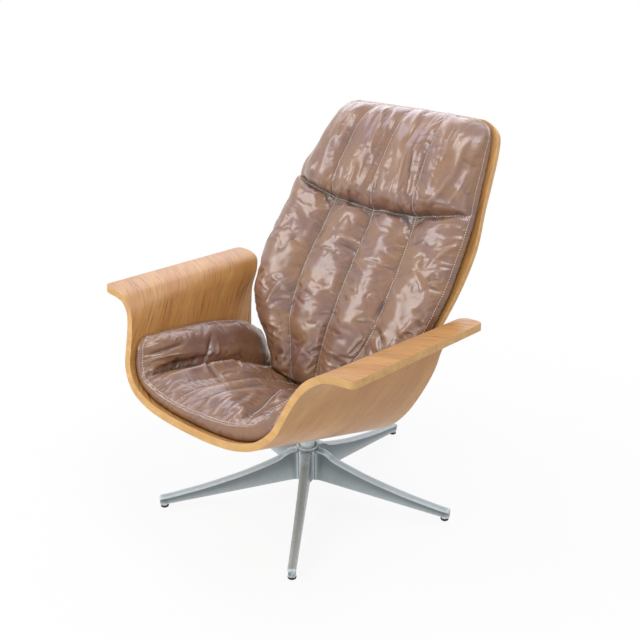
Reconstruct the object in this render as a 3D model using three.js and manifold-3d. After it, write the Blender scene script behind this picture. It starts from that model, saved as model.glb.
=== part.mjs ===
// A swivel rocker lounge chair. Moulded plywood seat and back shells carry leather cushions. They stand on a
// sprung rocking mechanism and a five-legged cast aluminium base. Millimetres, +Z up, the sitter faces -Y.
import * as THREE from 'three';
import { mergeVertices } from 'three/addons/utils/BufferGeometryUtils.js';
import Module from 'manifold-3d';

const wasm = await Module();
wasm.setup();

// General clearances
const seatGap = 0.3;
const seatPadGap = 0.75;
const backPadGap = 1.5;
const mountGap = 1.1;
const headGap = 0.85;
const runningGap = 0.35;
const cutOverrun = 2;
const weldTolerance = 0.0001;
const hubSides = 32;
const roundSides = 18;
const smallSides = 10;
const cornerSteps = 5;

// Cast base
const legCount = 5;
const legReach = 376.5;
const legTipInset = 11.5;
const glideCircle = legReach - legTipInset;
const baseTurnDegrees = 1;
const legWidthAtHub = 23;
const legWidthAtTip = 19.5;
const legFlangeThickness = 3.6;
const legFlangeLip = 1.3;
const legRootHeight = 120;
const legTipHeight = 28.5;
const legTipUnderside = 7.5;
const legTipRound = 5;
const legRootFlare = 4.5;
const legRootFlareReach = 13;
const hubRadius = 29;
const hubCollarRadius = 26.8;
const hubCollarHeight = 8.5;
const hubTop = 128;
const hubBore = 16.4;
const hubRecessRadius = 22;
const hubRecessDepth = 3.6;
const hubFoot = 37;
const hubFootRecess = 8;
// A leg's top edge: how far along the leg, and how much of its fall from root to tip is left
const legTopShares = [[0, 1], [0.03, 0.998], [0.07, 0.978], [0.106, 0.913], [0.15, 0.792], [0.213, 0.69],
  [0.314, 0.555], [0.416, 0.43], [0.54, 0.31], [0.68, 0.187], [0.82, 0.09], [0.95, 0.012], [1, 0]];
// Glides under the leg tips
const glideRadius = 10;
const glideThickness = 6.6;
const glideEdgeRound = 1.4;
const glideStemRadius = 4;
const glideStemLength = 8;
const footBossRadius = 9.4;
const footBossDepth = 5;

// Swivel
const spindleRadius = 12.5;
const spindleTop = 150;
const spindleFoot = 34;
const bushWall = 3.2;
const bushFlangeThickness = 2.4;
const bushFlangeRadius = 20.5;
const bushLength = 26;
const thrustWasherThickness = 3;
const thrustWasherRadius = 20.5;
const lowerWasherThickness = 2.2;
const clipThickness = 1.8;
const clipRadius = 17;
const clipGrooveDepth = 1.2;

// Rocking mechanism, set parallel with the seat pan
const pivotHeight = 172;
const tiltBackDegrees = 12;
const tiltForwardDegrees = 5;
const pivotBoltRadius = 6;
const pivotHeadRadius = 10;
const pivotHeadThickness = 6.5;
const pivotNutThickness = 7;
const pivotNutInset = 1.5;
const earThickness = 4.6;
const earRadius = 12;
const yokeEarRadius = 11;
const yokeEarOutside = 31;
const yokePlateHalfLength = 60;
const yokePlateThickness = 6;
const yokePlateDrop = 12;
const yokeSocketRadius = 18.5;
const pivotBushWall = 2;
const pivotBushFlange = 1.5;
const tiltPlateHalfWidth = 58;
const tiltPlateHalfLength = 72;
const tiltPlateThickness = 5;
const tiltEarHalfLength = 20;
const plateCornerRadius = 9;
const springOffsetX = 20;
const springOffsetY = 45;
const springRadius = 9.3;
const springWire = 3.4;
const springTurns = 5;
const springStepsPerTurn = 8;
const springSides = 5;
const bumperRadius = 6.5;
const bumperRadiusTop = 5;
const cleatThickness = 9;
const cleatHalfWidth = 12;
const cleatHalfLength = 80;
const cleatOffsetX = 45;
const cleatBoltOffsetY = 54;

// Fasteners
const boltShankRadius = 3;
const boltHeadRadius = 7;
const boltHeadThickness = 3.4;
const boltHeadCrownShare = 0.55;
const cleatBoltBite = 6;
const shellBoltBite = 9;

// Seat shell: one sheet bent into a U with arms that flare outwards
const seatPlyThickness = 17;
const frontArmHalfWidth = 388;
const frontArmHeight = 545;
const frontPanHeight = 343.5;
const frontArmSetback = -292;
const frontLean = 0.449;
const rearArmFlare = 3;
const rearArmHalfWidth = frontArmHalfWidth + rearArmFlare;
const rearArmHeight = 525;
const rearPanHeight = 222.6;
const rearArmSetback = 157;
const rearLean = 0.437;
const rearHollow = 11;
const armCornerRadius = 9;
// Half profiles from the middle of the pan out to the arm's edge: share of the half width, share of the rise
const frontProfileShares = [[0, 0], [0.21, 0.012], [0.38, 0.057], [0.503, 0.146], [0.582, 0.295], [0.61, 0.442],
  [0.634, 0.585], [0.675, 0.762], [0.725, 0.871], [0.8, 0.953], [0.868, 0.98], [1, 1]];
const rearProfileShares = [[0, 0], [0.25, 0.014], [0.43, 0.055], [0.562, 0.14], [0.642, 0.26], [0.715, 0.474],
  [0.749, 0.627], [0.763, 0.75], [0.779, 0.87], [0.813, 0.955], [0.885, 0.993], [1, 1]];
// How much of the rear edge's hollow each point of the rear profile takes
const rearHollowShares = [0, 0, 0, 0, 0, 0.1, 0.5, 1, 0.3, 0, 0, 0];
const shellColumns = 66;
const shellRows = 4;

// Seat cushion, lying in the U of the shell
const seatPadEdge = 22;
const seatPadCentre = 50;
const seatPadFrontCentre = 36;
const seatPadSide = 40;
const seatPadSeamDepth = 15;
const seatPadRoll = 42;
const seatPadFrontShare = 0.028;
const seatPadRearShare = 0.955;
const seatPadCornerShare = 0.13;
const seatPadFrontSideShare = 0.535;
const seatPadRearSideShare = 0.445;
const seatPadColumnShares = [0, 0.05, 0.12, 0.22, 0.33, 0.41, 0.46, 0.5, 0.54, 0.59, 0.66, 0.74, 0.82, 0.89,
  0.94, 0.975, 1];
const seatPadRowShares = [0, 0.025, 0.07, 0.14, 0.24, 0.35, 0.46, 0.57, 0.68, 0.78, 0.87, 0.94, 0.98, 1];
const seatPadSeamShares = [0, 0.5];

// Back shell: a dished panel; its middle line is given as shares of the depth and the rise
const backPlyThickness = 15;
const backHalfWidth = 300;
const backFootY = 34;
const backFootHeight = 236;
const backDepth = 394;
const backRise = 674;
const backDish = 10;
const backTopArc = 9;
const backBottomArc = 16;
const backLineShares = [[0, 0], [0.071, 0.122], [0.157, 0.248], [0.279, 0.374], [0.421, 0.493], [0.566, 0.608],
  [0.706, 0.734], [0.855, 0.869], [1, 1]];
const backWidthShares = [[0, 0.367], [0.012, 0.439], [0.035, 0.5], [0.066, 0.566], [0.129, 0.673], [0.18, 0.78],
  [0.241, 0.872], [0.307, 0.936], [0.378, 0.973], [0.44, 0.992], [0.497, 1], [0.567, 0.997], [0.623, 0.983],
  [0.725, 0.933], [0.794, 0.907], [0.878, 0.873], [0.916, 0.853], [0.957, 0.82], [0.982, 0.76], [0.995, 0.69],
  [1, 0.64]];
const backColumns = 12;

// Back cushion with its headrest, on the front of the back shell
const backPadEdge = 24;
const backPadHeadEdge = 11;
const backPadCrown = 41;
const backPadSeamDepth = 15;
const backPadHead = 74;
const backPadHeadSeam = 27;
const backPadSeamSag = 74;
const backPadSeamShare = 0.705;
const backPadBottomShare = 0.04;
const backPadTopMargin = 5;
const backPadRoll = 46;
const backPadHeadRoll = 95;
const backPadWidthShares = [[0, 0.33], [0.012, 0.43], [0.025, 0.483], [0.084, 0.573], [0.137, 0.687],
  [0.186, 0.79], [0.247, 0.867], [0.316, 0.913], [0.38, 0.933], [0.433, 0.943], [0.546, 0.925], [0.631, 0.903],
  [0.707, 0.887], [0.774, 0.86], [0.85, 0.827], [0.921, 0.797], [0.955, 0.765], [0.98, 0.71], [0.995, 0.63],
  [1, 0.58]];
const backPadColumnShares = [0, 0.05, 0.14, 0.25, 0.37, 0.43, 0.48, 0.53, 0.63, 0.76, 0.88, 0.96, 1];
const backPadLowerShares = [0, 0.03, 0.1, 0.22, 0.36, 0.5, 0.64, 0.77, 0.88, 0.96, 1];
const backPadUpperShares = [0.06, 0.2, 0.38, 0.56, 0.72, 0.85, 0.94, 1];
const backPadSeamShares = [0, 0.48];

// Steel brackets that carry the back shell from under the seat
const bracketOffsetX = 88;
const bracketWidth = 38;
const bracketThickness = 5;
const bracketFrontShare = 0.78;
const bracketBendShare = 0.035;
const bracketTopShare = 0.32;
const bracketBendHandle = 26;
const bracketSeatBoltShares = [0.83, 0.93];
const bracketBackBoltShares = [0.15, 0.275];
const bracketColumns = 2;
const bracketSeatRows = 3;
const bracketBendRows = 6;
const bracketBackRows = 6;
const mountRadius = 15;
const mountThickness = 8;

// Finishes
const plywood = new THREE.MeshStandardMaterial({ color: 0xb9854f, roughness: 0.42, metalness: 0 });
const leather = new THREE.MeshStandardMaterial({ color: 0x8a6857, roughness: 0.34, metalness: 0 });
const castAluminium = new THREE.MeshStandardMaterial({ color: 0xa9adac, roughness: 0.4, metalness: 1 });
const steel = new THREE.MeshStandardMaterial({ color: 0x85888a, roughness: 0.35, metalness: 1 });
const blackSteel = new THREE.MeshStandardMaterial({ color: 0x2a2b2c, roughness: 0.5, metalness: 0.6 });
const springSteel = new THREE.MeshStandardMaterial({ color: 0x6e7173, roughness: 0.3, metalness: 1 });
const blackPlastic = new THREE.MeshStandardMaterial({ color: 0x161616, roughness: 0.55, metalness: 0 });
const rubber = new THREE.MeshStandardMaterial({ color: 0x1e1e1e, roughness: 0.8, metalness: 0 });
const nylon = new THREE.MeshStandardMaterial({ color: 0xe6e1d4, roughness: 0.5, metalness: 0 });
const beech = new THREE.MeshStandardMaterial({ color: 0xc9a272, roughness: 0.6, metalness: 0 });

const { lerp, clamp, degToRad } = THREE.MathUtils;

// One closed skin with shared vertices and no empty triangles
function weld(geometry) {
  const bare = geometry.clone();
  bare.deleteAttribute('normal');
  bare.deleteAttribute('uv');
  const merged = mergeVertices(bare, weldTolerance);
  const corners = merged.index.array;
  const kept = [];
  for (let i = 0; i < corners.length; i += 3) {
    const [a, b, c] = [corners[i], corners[i + 1], corners[i + 2]];
    if (a !== b && b !== c && c !== a) kept.push(a, b, c);
  }
  merged.setIndex(kept);
  return merged;
}

function toManifold(geometry) {
  const welded = weld(geometry);
  const vertProperties = new Float32Array(welded.attributes.position.array);
  const triVerts = new Uint32Array(welded.index.array);
  return new wasm.Manifold(new wasm.Mesh({ numProp: 3, vertProperties, triVerts }));
}

function fromManifold(body) {
  const mesh = body.getMesh();
  const geometry = new THREE.BufferGeometry();
  geometry.setAttribute('position', new THREE.BufferAttribute(new Float32Array(mesh.vertProperties), 3));
  geometry.setIndex(Array.from(mesh.triVerts));
  return geometry;
}

function join(...geometries) {
  return fromManifold(geometries.map(toManifold).reduce((whole, piece) => whole.add(piece)));
}

function cut(geometry, ...tools) {
  return fromManifold(tools.map(toManifold).reduce((whole, tool) => whole.subtract(tool), toManifold(geometry)));
}

// A turned piece about Z from [radius, height] points
function turned(profile, sides = roundSides) {
  const points = profile.map(([radius, height]) => new THREE.Vector2(radius, height));
  return weld(new THREE.LatheGeometry(points, sides).rotateX(Math.PI / 2));
}

function disc(radius, bottom, top, sides = roundSides) {
  return turned([[0, bottom], [radius, bottom], [radius, top], [0, top]], sides);
}

function ring(inner, outer, bottom, top, sides = roundSides) {
  return turned([[inner, bottom], [outer, bottom], [outer, top], [inner, top], [inner, bottom]], sides);
}

// A flat outline extruded along Z
function prism(shape, bottom, top, curveSegments = cornerSteps) {
  const slab = new THREE.ExtrudeGeometry(shape, { depth: top - bottom, bevelEnabled: false, curveSegments });
  return weld(slab.translate(0, 0, bottom));
}

function roundedRectangle(halfX, halfY, radius) {
  const shape = new THREE.Shape();
  shape.moveTo(-halfX + radius, -halfY);
  shape.lineTo(halfX - radius, -halfY);
  shape.absarc(halfX - radius, -halfY + radius, radius, -Math.PI / 2, 0);
  shape.lineTo(halfX, halfY - radius);
  shape.absarc(halfX - radius, halfY - radius, radius, 0, Math.PI / 2);
  shape.lineTo(-halfX + radius, halfY);
  shape.absarc(-halfX + radius, halfY - radius, radius, Math.PI / 2, Math.PI);
  shape.lineTo(-halfX, -halfY + radius);
  shape.absarc(-halfX + radius, -halfY + radius, radius, Math.PI, 1.5 * Math.PI);
  return shape;
}

// A closed body between two grids of points: near(i, j) on one face, far(i, j) on the other
function slabBetween(columns, rows, near, far) {
  const positions = [];
  const corners = [];
  const wide = columns + 1;
  const layer = wide * (rows + 1);
  for (const face of [near, far]) {
    for (let j = 0; j <= rows; j += 1) {
      for (let i = 0; i <= columns; i += 1) positions.push(...face(i, j).toArray());
    }
  }
  const quad = (a, b, c, d) => corners.push(a, b, c, a, c, d);
  for (let j = 0; j < rows; j += 1) {
    for (let i = 0; i < columns; i += 1) {
      const k = j * wide + i;
      quad(k, k + 1, k + wide + 1, k + wide);
      quad(layer + k, layer + k + wide, layer + k + wide + 1, layer + k + 1);
    }
  }
  const border = [];
  for (let i = 0; i < columns; i += 1) border.push(i);
  for (let j = 0; j < rows; j += 1) border.push(j * wide + columns);
  for (let i = columns; i > 0; i -= 1) border.push(rows * wide + i);
  for (let j = rows; j > 0; j -= 1) border.push(j * wide);
  border.forEach((a, n) => {
    const b = border[(n + 1) % border.length];
    quad(b, a, layer + a, layer + b);
  });
  const geometry = new THREE.BufferGeometry();
  geometry.setAttribute('position', new THREE.Float32BufferAttribute(positions, 3));
  geometry.setIndex(corners);
  return signedVolume(geometry) < 0 ? turnInsideOut(geometry) : geometry;
}

function signedVolume(geometry) {
  const place = geometry.attributes.position;
  const corners = geometry.index.array;
  const [a, b, c] = [new THREE.Vector3(), new THREE.Vector3(), new THREE.Vector3()];
  let sum = 0;
  for (let i = 0; i < corners.length; i += 3) {
    a.fromBufferAttribute(place, corners[i]);
    b.fromBufferAttribute(place, corners[i + 1]);
    c.fromBufferAttribute(place, corners[i + 2]);
    sum += a.dot(b.cross(c));
  }
  return sum;
}

function turnInsideOut(geometry) {
  const corners = Array.from(geometry.index.array);
  for (let i = 0; i < corners.length; i += 3) {
    [corners[i + 1], corners[i + 2]] = [corners[i + 2], corners[i + 1]];
  }
  geometry.setIndex(corners);
  return geometry;
}

function addPart(group, name, geometry, material) {
  const mesh = new THREE.Mesh(geometry, material);
  mesh.name = name;
  group.add(mesh);
  return mesh;
}

// Straight-line reading of a table of [place, value] shares
function readShares(table, place) {
  const next = table.findIndex(([at]) => at >= place);
  if (next <= 0) return table[next === 0 ? 0 : table.length - 1][1];
  const [[fromAt, fromValue], [toAt, toValue]] = [table[next - 1], table[next]];
  return lerp(fromValue, toValue, (place - fromAt) / (toAt - fromAt));
}

// The same list on both sides of the middle
function mirrored(halfShares) {
  return [...halfShares.slice(1).reverse().map((share) => -share), ...halfShares];
}

// The seat shell's edges: u runs from -1 at one arm's edge to 1 at the other
function edgeCurve(shares, halfWidth, low, high, hollows) {
  const half = shares.map(([across, rise], n) => new THREE.Vector3(
    across * halfWidth, (hollows ? hollows[n] : 0) * rearHollow, lerp(low, high, rise)));
  const other = half.slice(1).reverse().map((point) => new THREE.Vector3(-point.x, point.y, point.z));
  return new THREE.CatmullRomCurve3([...other, ...half], false, 'centripetal');
}

const frontCurve = edgeCurve(frontProfileShares, frontArmHalfWidth, frontPanHeight, frontArmHeight);
const rearCurve = edgeCurve(rearProfileShares, rearArmHalfWidth, rearPanHeight, rearArmHeight, rearHollowShares);

function frontEdge(u) {
  const point = frontCurve.getPoint((u + 1) / 2);
  return new THREE.Vector3(point.x, frontArmSetback - frontLean * (frontArmHeight - point.z), point.z);
}

function rearEdge(u) {
  const point = rearCurve.getPoint((u + 1) / 2);
  return new THREE.Vector3(point.x, rearArmSetback - rearLean * (rearArmHeight - point.z) - point.y, point.z);
}

// The sitter's side of the sheet, offset outwards by a distance
function seatSurface(u, v, outwards) {
  const step = 0.002;
  const place = (s, t) => frontEdge(s).lerp(rearEdge(s), t);
  const [u0, u1] = [Math.max(u - step, -1), Math.min(u + step, 1)];
  const along = place(u1, v).sub(place(u0, v));
  const back = rearEdge(u).sub(frontEdge(u));
  const normal = along.cross(back).normalize();
  return place(u, v).addScaledVector(normal, -outwards);
}

// Rounds the arms' corners: the sheet's ends draw in near its front and rear edges
function armEnd(v, length) {
  const fromCorner = Math.min(v, 1 - v) * length;
  if (fromCorner >= armCornerRadius) return 0;
  const left = armCornerRadius - fromCorner;
  return armCornerRadius - Math.sqrt(armCornerRadius ** 2 - left ** 2);
}

const shellRowPlaces = [0, 0.005, 0.02];
const armLength = rearArmSetback - frontArmSetback;

function seatShellRows() {
  const inner = Array.from({ length: shellRows - 1 }, (_, n) => (n + 1) / shellRows);
  return [...shellRowPlaces, ...inner, ...shellRowPlaces.map((place) => 1 - place).reverse()];
}

function seatShellBody(innerOffset, outerOffset) {
  const rows = seatShellRows();
  const reach = frontArmHalfWidth;
  const at = (i, j, offset) => {
    const v = rows[j];
    const across = (i / shellColumns) * 2 - 1;
    const drawn = armEnd(v, armLength) / reach;
    return seatSurface(across * (1 - drawn * across ** 8), v, offset);
  };
  return slabBetween(shellColumns, rows.length - 1,
    (i, j) => at(i, j, innerOffset), (i, j) => at(i, j, outerOffset));
}

// The back shell's middle line and its normal, towards the sitter
const backLine = new THREE.CatmullRomCurve3(backLineShares.map(([depth, rise]) => new THREE.Vector3(
  0, backFootY + depth * backDepth, backFootHeight + rise * backRise)), false, 'centripetal');
const backLength = backLine.getLength();

function backSurface(x, along, forwards) {
  const share = clamp(along / backLength, 0, 1);
  const tangent = backLine.getTangentAt(share);
  const normal = new THREE.Vector3(0, -tangent.z, tangent.y);
  const dish = backDish * (x / backHalfWidth) ** 2;
  return backLine.getPointAt(share).addScaledVector(normal, dish + forwards).setX(x);
}

const backRowShares = backWidthShares.map(([place]) => place);

function backShellBody() {
  const at = (i, j, forwards) => {
    const across = (i / backColumns) * 2 - 1;
    const place = backRowShares[j];
    const x = across * backHalfWidth * readShares(backWidthShares, place);
    const spread = (across * readShares(backWidthShares, place)) ** 2;
    const low = backBottomArc * spread;
    const high = backLength - backTopArc * spread;
    return backSurface(x, lerp(low, high, place), forwards);
  };
  return slabBetween(backColumns, backRowShares.length - 1,
    (i, j) => at(i, j, 0), (i, j) => at(i, j, -backPlyThickness));
}

// Height of a padded edge that rolls over within a distance of the border
function rolled(distance, roll) {
  const left = 1 - clamp(distance / roll, 0, 1);
  return Math.sqrt(1 - left ** 2);
}

// How far a sewn seam draws the cover in, at a distance from the seam measured in its own widths
function drawnIn(distance) {
  return Math.exp(-(distance ** 2));
}

function seatCushionBody() {
  const columns = mirrored(seatPadColumnShares);
  const seamWidthShare = 0.06;
  const shape = (a, b) => {
    const turn = clamp((Math.abs(a) - 0.8) / 0.2, 0, 1);
    const corner = seatPadCornerShare * (1 - Math.sqrt(1 - turn ** 2));
    const v = lerp(seatPadFrontShare + corner, seatPadRearShare - corner * 0.5, b);
    const u = a * lerp(seatPadFrontSideShare, seatPadRearSideShare, v);
    return { u, v, length: frontEdge(u).distanceTo(rearEdge(u)) };
  };
  const thickness = (a, b, length) => {
    const fromEnd = Math.min(b, 1 - b) * length;
    const fromSide = (1 - Math.abs(a)) * frontArmHalfWidth * 0.9;
    const roll = Math.min(rolled(fromEnd, seatPadRoll), rolled(fromSide, seatPadRoll));
    const middle = lerp(seatPadFrontCentre, seatPadCentre, Math.sin(clamp(b * 1.6, 0, 1) * Math.PI / 2));
    const full = lerp(middle, seatPadSide, Math.abs(a) ** 3);
    const seams = seatPadSeamShares.map((seam) => drawnIn((Math.abs(a) - seam) / seamWidthShare));
    const sewn = seatPadSeamDepth * Math.max(...seams) * roll;
    return seatPadEdge + (full - seatPadEdge) * roll - sewn;
  };
  const at = (i, j, padded) => {
    const [a, b] = [columns[i], seatPadRowShares[j]];
    const { u, v, length } = shape(a, b);
    return seatSurface(u, v, -seatPadGap - (padded ? thickness(a, b, length) : 0));
  };
  return slabBetween(columns.length - 1, seatPadRowShares.length - 1,
    (i, j) => at(i, j, true), (i, j) => at(i, j, false));
}

function backCushionBody() {
  const columns = mirrored(backPadColumnShares);
  const rows = [...backPadLowerShares.map((share) => share - 1), ...backPadUpperShares];
  const bottom = backPadBottomShare * backLength;
  const top = backLength - backPadTopMargin;
  const seamWidthShare = 0.055;
  const along = (a, row) => {
    const seam = backPadSeamShare * backLength + backPadSeamSag * (a ** 2 - 0.5);
    const arc = backTopArc * a ** 2 * 0.4;
    return row <= 0 ? lerp(bottom + backBottomArc * a ** 2, seam, row + 1) : lerp(seam, top - arc, row);
  };
  const halfWidth = (s) => backHalfWidth * readShares(backPadWidthShares, clamp((s - bottom) / (top - bottom), 0, 1));
  const thickness = (a, row, s) => {
    const fromSide = (1 - Math.abs(a)) * halfWidth(s);
    const seams = backPadSeamShares.map((seam) => drawnIn((Math.abs(a) - seam) / seamWidthShare));
    const sewn = Math.max(...seams);
    if (row <= 0) {
      const fromEnd = Math.min(s - bottom, (-row) * (top - bottom) * backPadSeamShare);
      const roll = Math.min(rolled(Math.max(s - bottom, 0), backPadRoll), rolled(fromSide, backPadRoll));
      const nearSeam = rolled(fromEnd, backPadRoll);
      const full = lerp(backPadHeadSeam, backPadCrown, nearSeam);
      return backPadEdge + (full - backPadEdge) * roll - backPadSeamDepth * sewn * roll * nearSeam;
    }
    const fromSeam = row * (1 - backPadSeamShare) * backLength;
    const fromTop = (1 - row) * (1 - backPadSeamShare) * backLength;
    const low = rolled(fromSeam, backPadHeadRoll * 0.6);
    const swell = low * rolled(fromTop, backPadHeadRoll * 1.4) ** 1.3;
    const roll = rolled(fromSide, backPadHeadRoll) ** 1.6;
    const edge = lerp(backPadEdge, backPadHeadEdge, Math.min(row * 2, 1));
    const full = lerp(lerp(backPadHeadSeam, backPadHeadEdge, row), backPadHead, swell);
    return edge + (full - edge) * roll - backPadSeamDepth * 0.5 * sewn * swell;
  };
  const at = (i, j, padded) => {
    const [a, row] = [columns[i], rows[j]];
    const s = along(a, row);
    return backSurface(a * halfWidth(s), s, backPadGap + (padded ? thickness(a, row, s) : 0));
  };
  return slabBetween(columns.length - 1, rows.length - 1, (i, j) => at(i, j, true), (i, j) => at(i, j, false));
}

// A leg in the YZ plane that points to -Y, lofted from sections of a thin top flange over a web
function legBody() {
  const rootRadius = hubBore + cutOverrun;
  const length = legReach - rootRadius;
  const tipShares = [1, 0.5, 0.15, 0].map((part) => 1 - (legTipRound * part) / length);
  const places = [...legTopShares.slice(0, -2).map(([place]) => place), ...tipShares];
  const topLine = new THREE.SplineCurve(legTopShares.map(([place, share]) => new THREE.Vector2(place, share)));
  const topSamples = topLine.getPoints(places.length * 6).map((point) => [point.x, point.y]);
  const section = (place) => {
    const radius = rootRadius + place * length;
    const underside = lerp(hubFoot, legTipUnderside, place);
    const tipDraw = legTipRound * (1 - rolled(legReach - radius, legTipRound));
    const top = lerp(legTipHeight, legRootHeight, readShares(topSamples, place)) - tipDraw;
    const flange = (lerp(legWidthAtHub, legWidthAtTip, place) - tipDraw) / 2;
    const fromHub = Math.max(radius - hubRadius, 0);
    const flare = legRootFlare * (1 - rolled(fromHub, legRootFlareReach));
    const web = flange - legFlangeLip + flare;
    const lip = top - legFlangeThickness;
    const low = underside + tipDraw / 2;
    return [[-web, low], [web, low], [web, lip - legFlangeLip], [flange, lip], [flange, top],
      [-flange, top], [-flange, lip], [-web, lip - legFlangeLip]].map(([x, z]) => new THREE.Vector3(x, -radius, z));
  };
  const positions = [];
  const corners = [];
  const rings = places.map(section);
  const count = rings[0].length;
  rings.forEach((loop) => loop.forEach((point) => positions.push(...point.toArray())));
  for (let n = 0; n < rings.length - 1; n += 1) {
    for (let k = 0; k < count; k += 1) {
      const [a, b] = [n * count + k, n * count + ((k + 1) % count)];
      corners.push(a, b, b + count, a, b + count, a + count);
    }
  }
  const last = (rings.length - 1) * count;
  const cap = (start, order) => {
    for (let k = 1; k < count - 1; k += 1) corners.push(...order([start, start + k, start + k + 1]));
  };
  const shape = THREE.ShapeUtils.triangulateShape(rings[0].map((point) => new THREE.Vector2(point.x, point.z)), []);
  shape.forEach(([a, b, c]) => corners.push(c, b, a));
  shape.forEach(([a, b, c]) => corners.push(last + a, last + b, last + c));
  const geometry = new THREE.BufferGeometry();
  geometry.setAttribute('position', new THREE.Float32BufferAttribute(positions, 3));
  geometry.setIndex(corners);
  return signedVolume(geometry) < 0 ? turnInsideOut(geometry) : geometry;
}

function legTurn(index) {
  return ((index + 0.5) / legCount) * 2 * Math.PI + degToRad(baseTurnDegrees);
}

function underLeg(geometry, index) {
  return geometry.clone().translate(0, -glideCircle, 0).rotateZ(legTurn(index));
}

function castingBody() {
  const leg = legBody();
  const legs = Array.from({ length: legCount }, (_, index) => leg.clone().rotateZ(legTurn(index)));
  const shoulder = hubTop - hubCollarHeight;
  const hub = turned([[0, hubFoot], [hubRadius, hubFoot], [hubRadius, shoulder - hubRadius + hubCollarRadius],
    [hubCollarRadius, shoulder], [hubCollarRadius, hubTop], [0, hubTop]], hubSides);
  const boss = disc(footBossRadius, glideThickness + seatGap, legTipUnderside + footBossDepth);
  const bosses = legs.map((_, index) => underLeg(boss, index));
  const socket = disc(glideStemRadius + seatGap, 0, glideThickness + glideStemLength + seatGap);
  const sockets = legs.map((_, index) => underLeg(socket, index));
  const bore = disc(hubBore, 0, hubTop + cutOverrun, hubSides);
  const recess = disc(hubRecessRadius, hubTop - hubRecessDepth, hubTop + cutOverrun, hubSides);
  const footRecess = disc(hubRecessRadius, 0, hubFoot + hubFootRecess, hubSides);
  return cut(join(hub, ...legs, ...bosses), bore, recess, footRecess, ...sockets);
}

function glideBody() {
  const edge = glideThickness - glideEdgeRound;
  const stemTop = glideThickness + glideStemLength;
  return turned([[0, 0], [glideRadius - glideEdgeRound, 0], [glideRadius, glideEdgeRound], [glideRadius, edge],
    [glideRadius - glideEdgeRound, glideThickness], [glideStemRadius, glideThickness], [glideStemRadius, stemTop],
    [0, stemTop]]);
}

function addBase(group) {
  addPart(group, 'base_casting', castingBody(), castAluminium);
  const glide = glideBody();
  for (let index = 0; index < legCount; index += 1) {
    addPart(group, `glide_${index + 1}`, underLeg(glide, index), blackPlastic);
  }
  const inner = spindleRadius + runningGap;
  const outer = inner + bushWall;
  const upperSeat = hubTop - hubRecessDepth + seatGap;
  const upperBush = turned([[inner, upperSeat - bushLength], [outer, upperSeat - bushLength], [outer, upperSeat],
    [bushFlangeRadius, upperSeat], [bushFlangeRadius, upperSeat + bushFlangeThickness],
    [inner, upperSeat + bushFlangeThickness], [inner, upperSeat - bushLength]]);
  addPart(group, 'hub_bushing_upper', upperBush, nylon);
  const lowerSeat = hubFoot + hubFootRecess - seatGap;
  const lowerBush = turned([[inner, lowerSeat - bushFlangeThickness], [bushFlangeRadius, lowerSeat - bushFlangeThickness],
    [bushFlangeRadius, lowerSeat], [outer, lowerSeat], [outer, lowerSeat + bushLength],
    [inner, lowerSeat + bushLength], [inner, lowerSeat - bushFlangeThickness]]);
  addPart(group, 'hub_bushing_lower', lowerBush, nylon);
  const washerFoot = upperSeat + bushFlangeThickness + seatGap;
  addPart(group, 'thrust_washer', ring(inner, thrustWasherRadius, washerFoot, washerFoot + thrustWasherThickness), nylon);
}

const washerTop = hubTop - hubRecessDepth + bushFlangeThickness + thrustWasherThickness + seatGap * 3;
const lowerWasherTop = hubFoot + hubFootRecess - bushFlangeThickness - seatGap * 2;

function addSpindle(group) {
  const clipTop = lowerWasherTop - lowerWasherThickness - seatGap;
  const clipFoot = clipTop - clipThickness;
  const groove = spindleRadius - clipGrooveDepth;
  const spindle = turned([[0, spindleFoot], [spindleRadius - seatGap, spindleFoot], [spindleRadius, spindleFoot + seatGap],
    [spindleRadius, clipFoot - seatGap], [groove, clipFoot - seatGap], [groove, clipTop + seatGap],
    [spindleRadius, clipTop + seatGap], [spindleRadius, spindleTop], [0, spindleTop]]);
  addPart(group, 'spindle', spindle, steel);
  const washerHole = spindleRadius + seatGap;
  addPart(group, 'spindle_washer',
    ring(washerHole, thrustWasherRadius, lowerWasherTop - lowerWasherThickness, lowerWasherTop), steel);
  addPart(group, 'retaining_clip', ring(groove + seatGap, clipRadius, clipFoot, clipTop), springSteel);
}

// The rocking mechanism is modelled level about its pivot, then leaned back with the pan
const panFront = frontEdge(0);
const panRear = rearEdge(0);
const panTilt = Math.atan2(panFront.z - panRear.z, panRear.y - panFront.y);
const rockFrame = new THREE.Matrix4().makeRotationX(-panTilt).setPosition(0, 0, pivotHeight);
const rockFrameBack = rockFrame.clone().invert();
const panUnderside = panRear.clone().applyMatrix4(rockFrameBack).z - seatPlyThickness;
const tiltPlateTop = panUnderside - seatGap - cleatThickness - seatGap;
const tiltPlateFoot = tiltPlateTop - tiltPlateThickness;
const tiltEarInside = yokeEarOutside + seatGap + pivotBushFlange + seatGap;
const tiltEarOutside = tiltEarInside + earThickness;

function leaned(geometry) {
  return geometry.clone().applyMatrix4(rockFrame);
}

// An ear in the YZ plane with a round end about the pivot, from one X to another
function earBody(halfWidth, root, radius, from, to) {
  const shape = new THREE.Shape();
  const slope = Math.sign(root) * Math.acos(clamp(radius / Math.hypot(halfWidth, root), 0, 1));
  const corner = Math.atan2(root, halfWidth);
  const tangent = corner - slope;
  shape.moveTo(-halfWidth, root);
  shape.lineTo(-Math.cos(tangent) * radius, Math.sin(tangent) * radius);
  shape.absarc(0, 0, radius, Math.PI - tangent, tangent, root < 0);
  shape.lineTo(halfWidth, root);
  shape.closePath();
  const plate = prism(shape, from, to, smallSides);
  return plate.applyMatrix4(new THREE.Matrix4().set(0, 0, 1, 0, 1, 0, 0, 0, 0, 1, 0, 0, 0, 0, 0, 1));
}

function alongX(geometry) {
  return geometry.clone().rotateY(Math.PI / 2);
}

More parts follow.
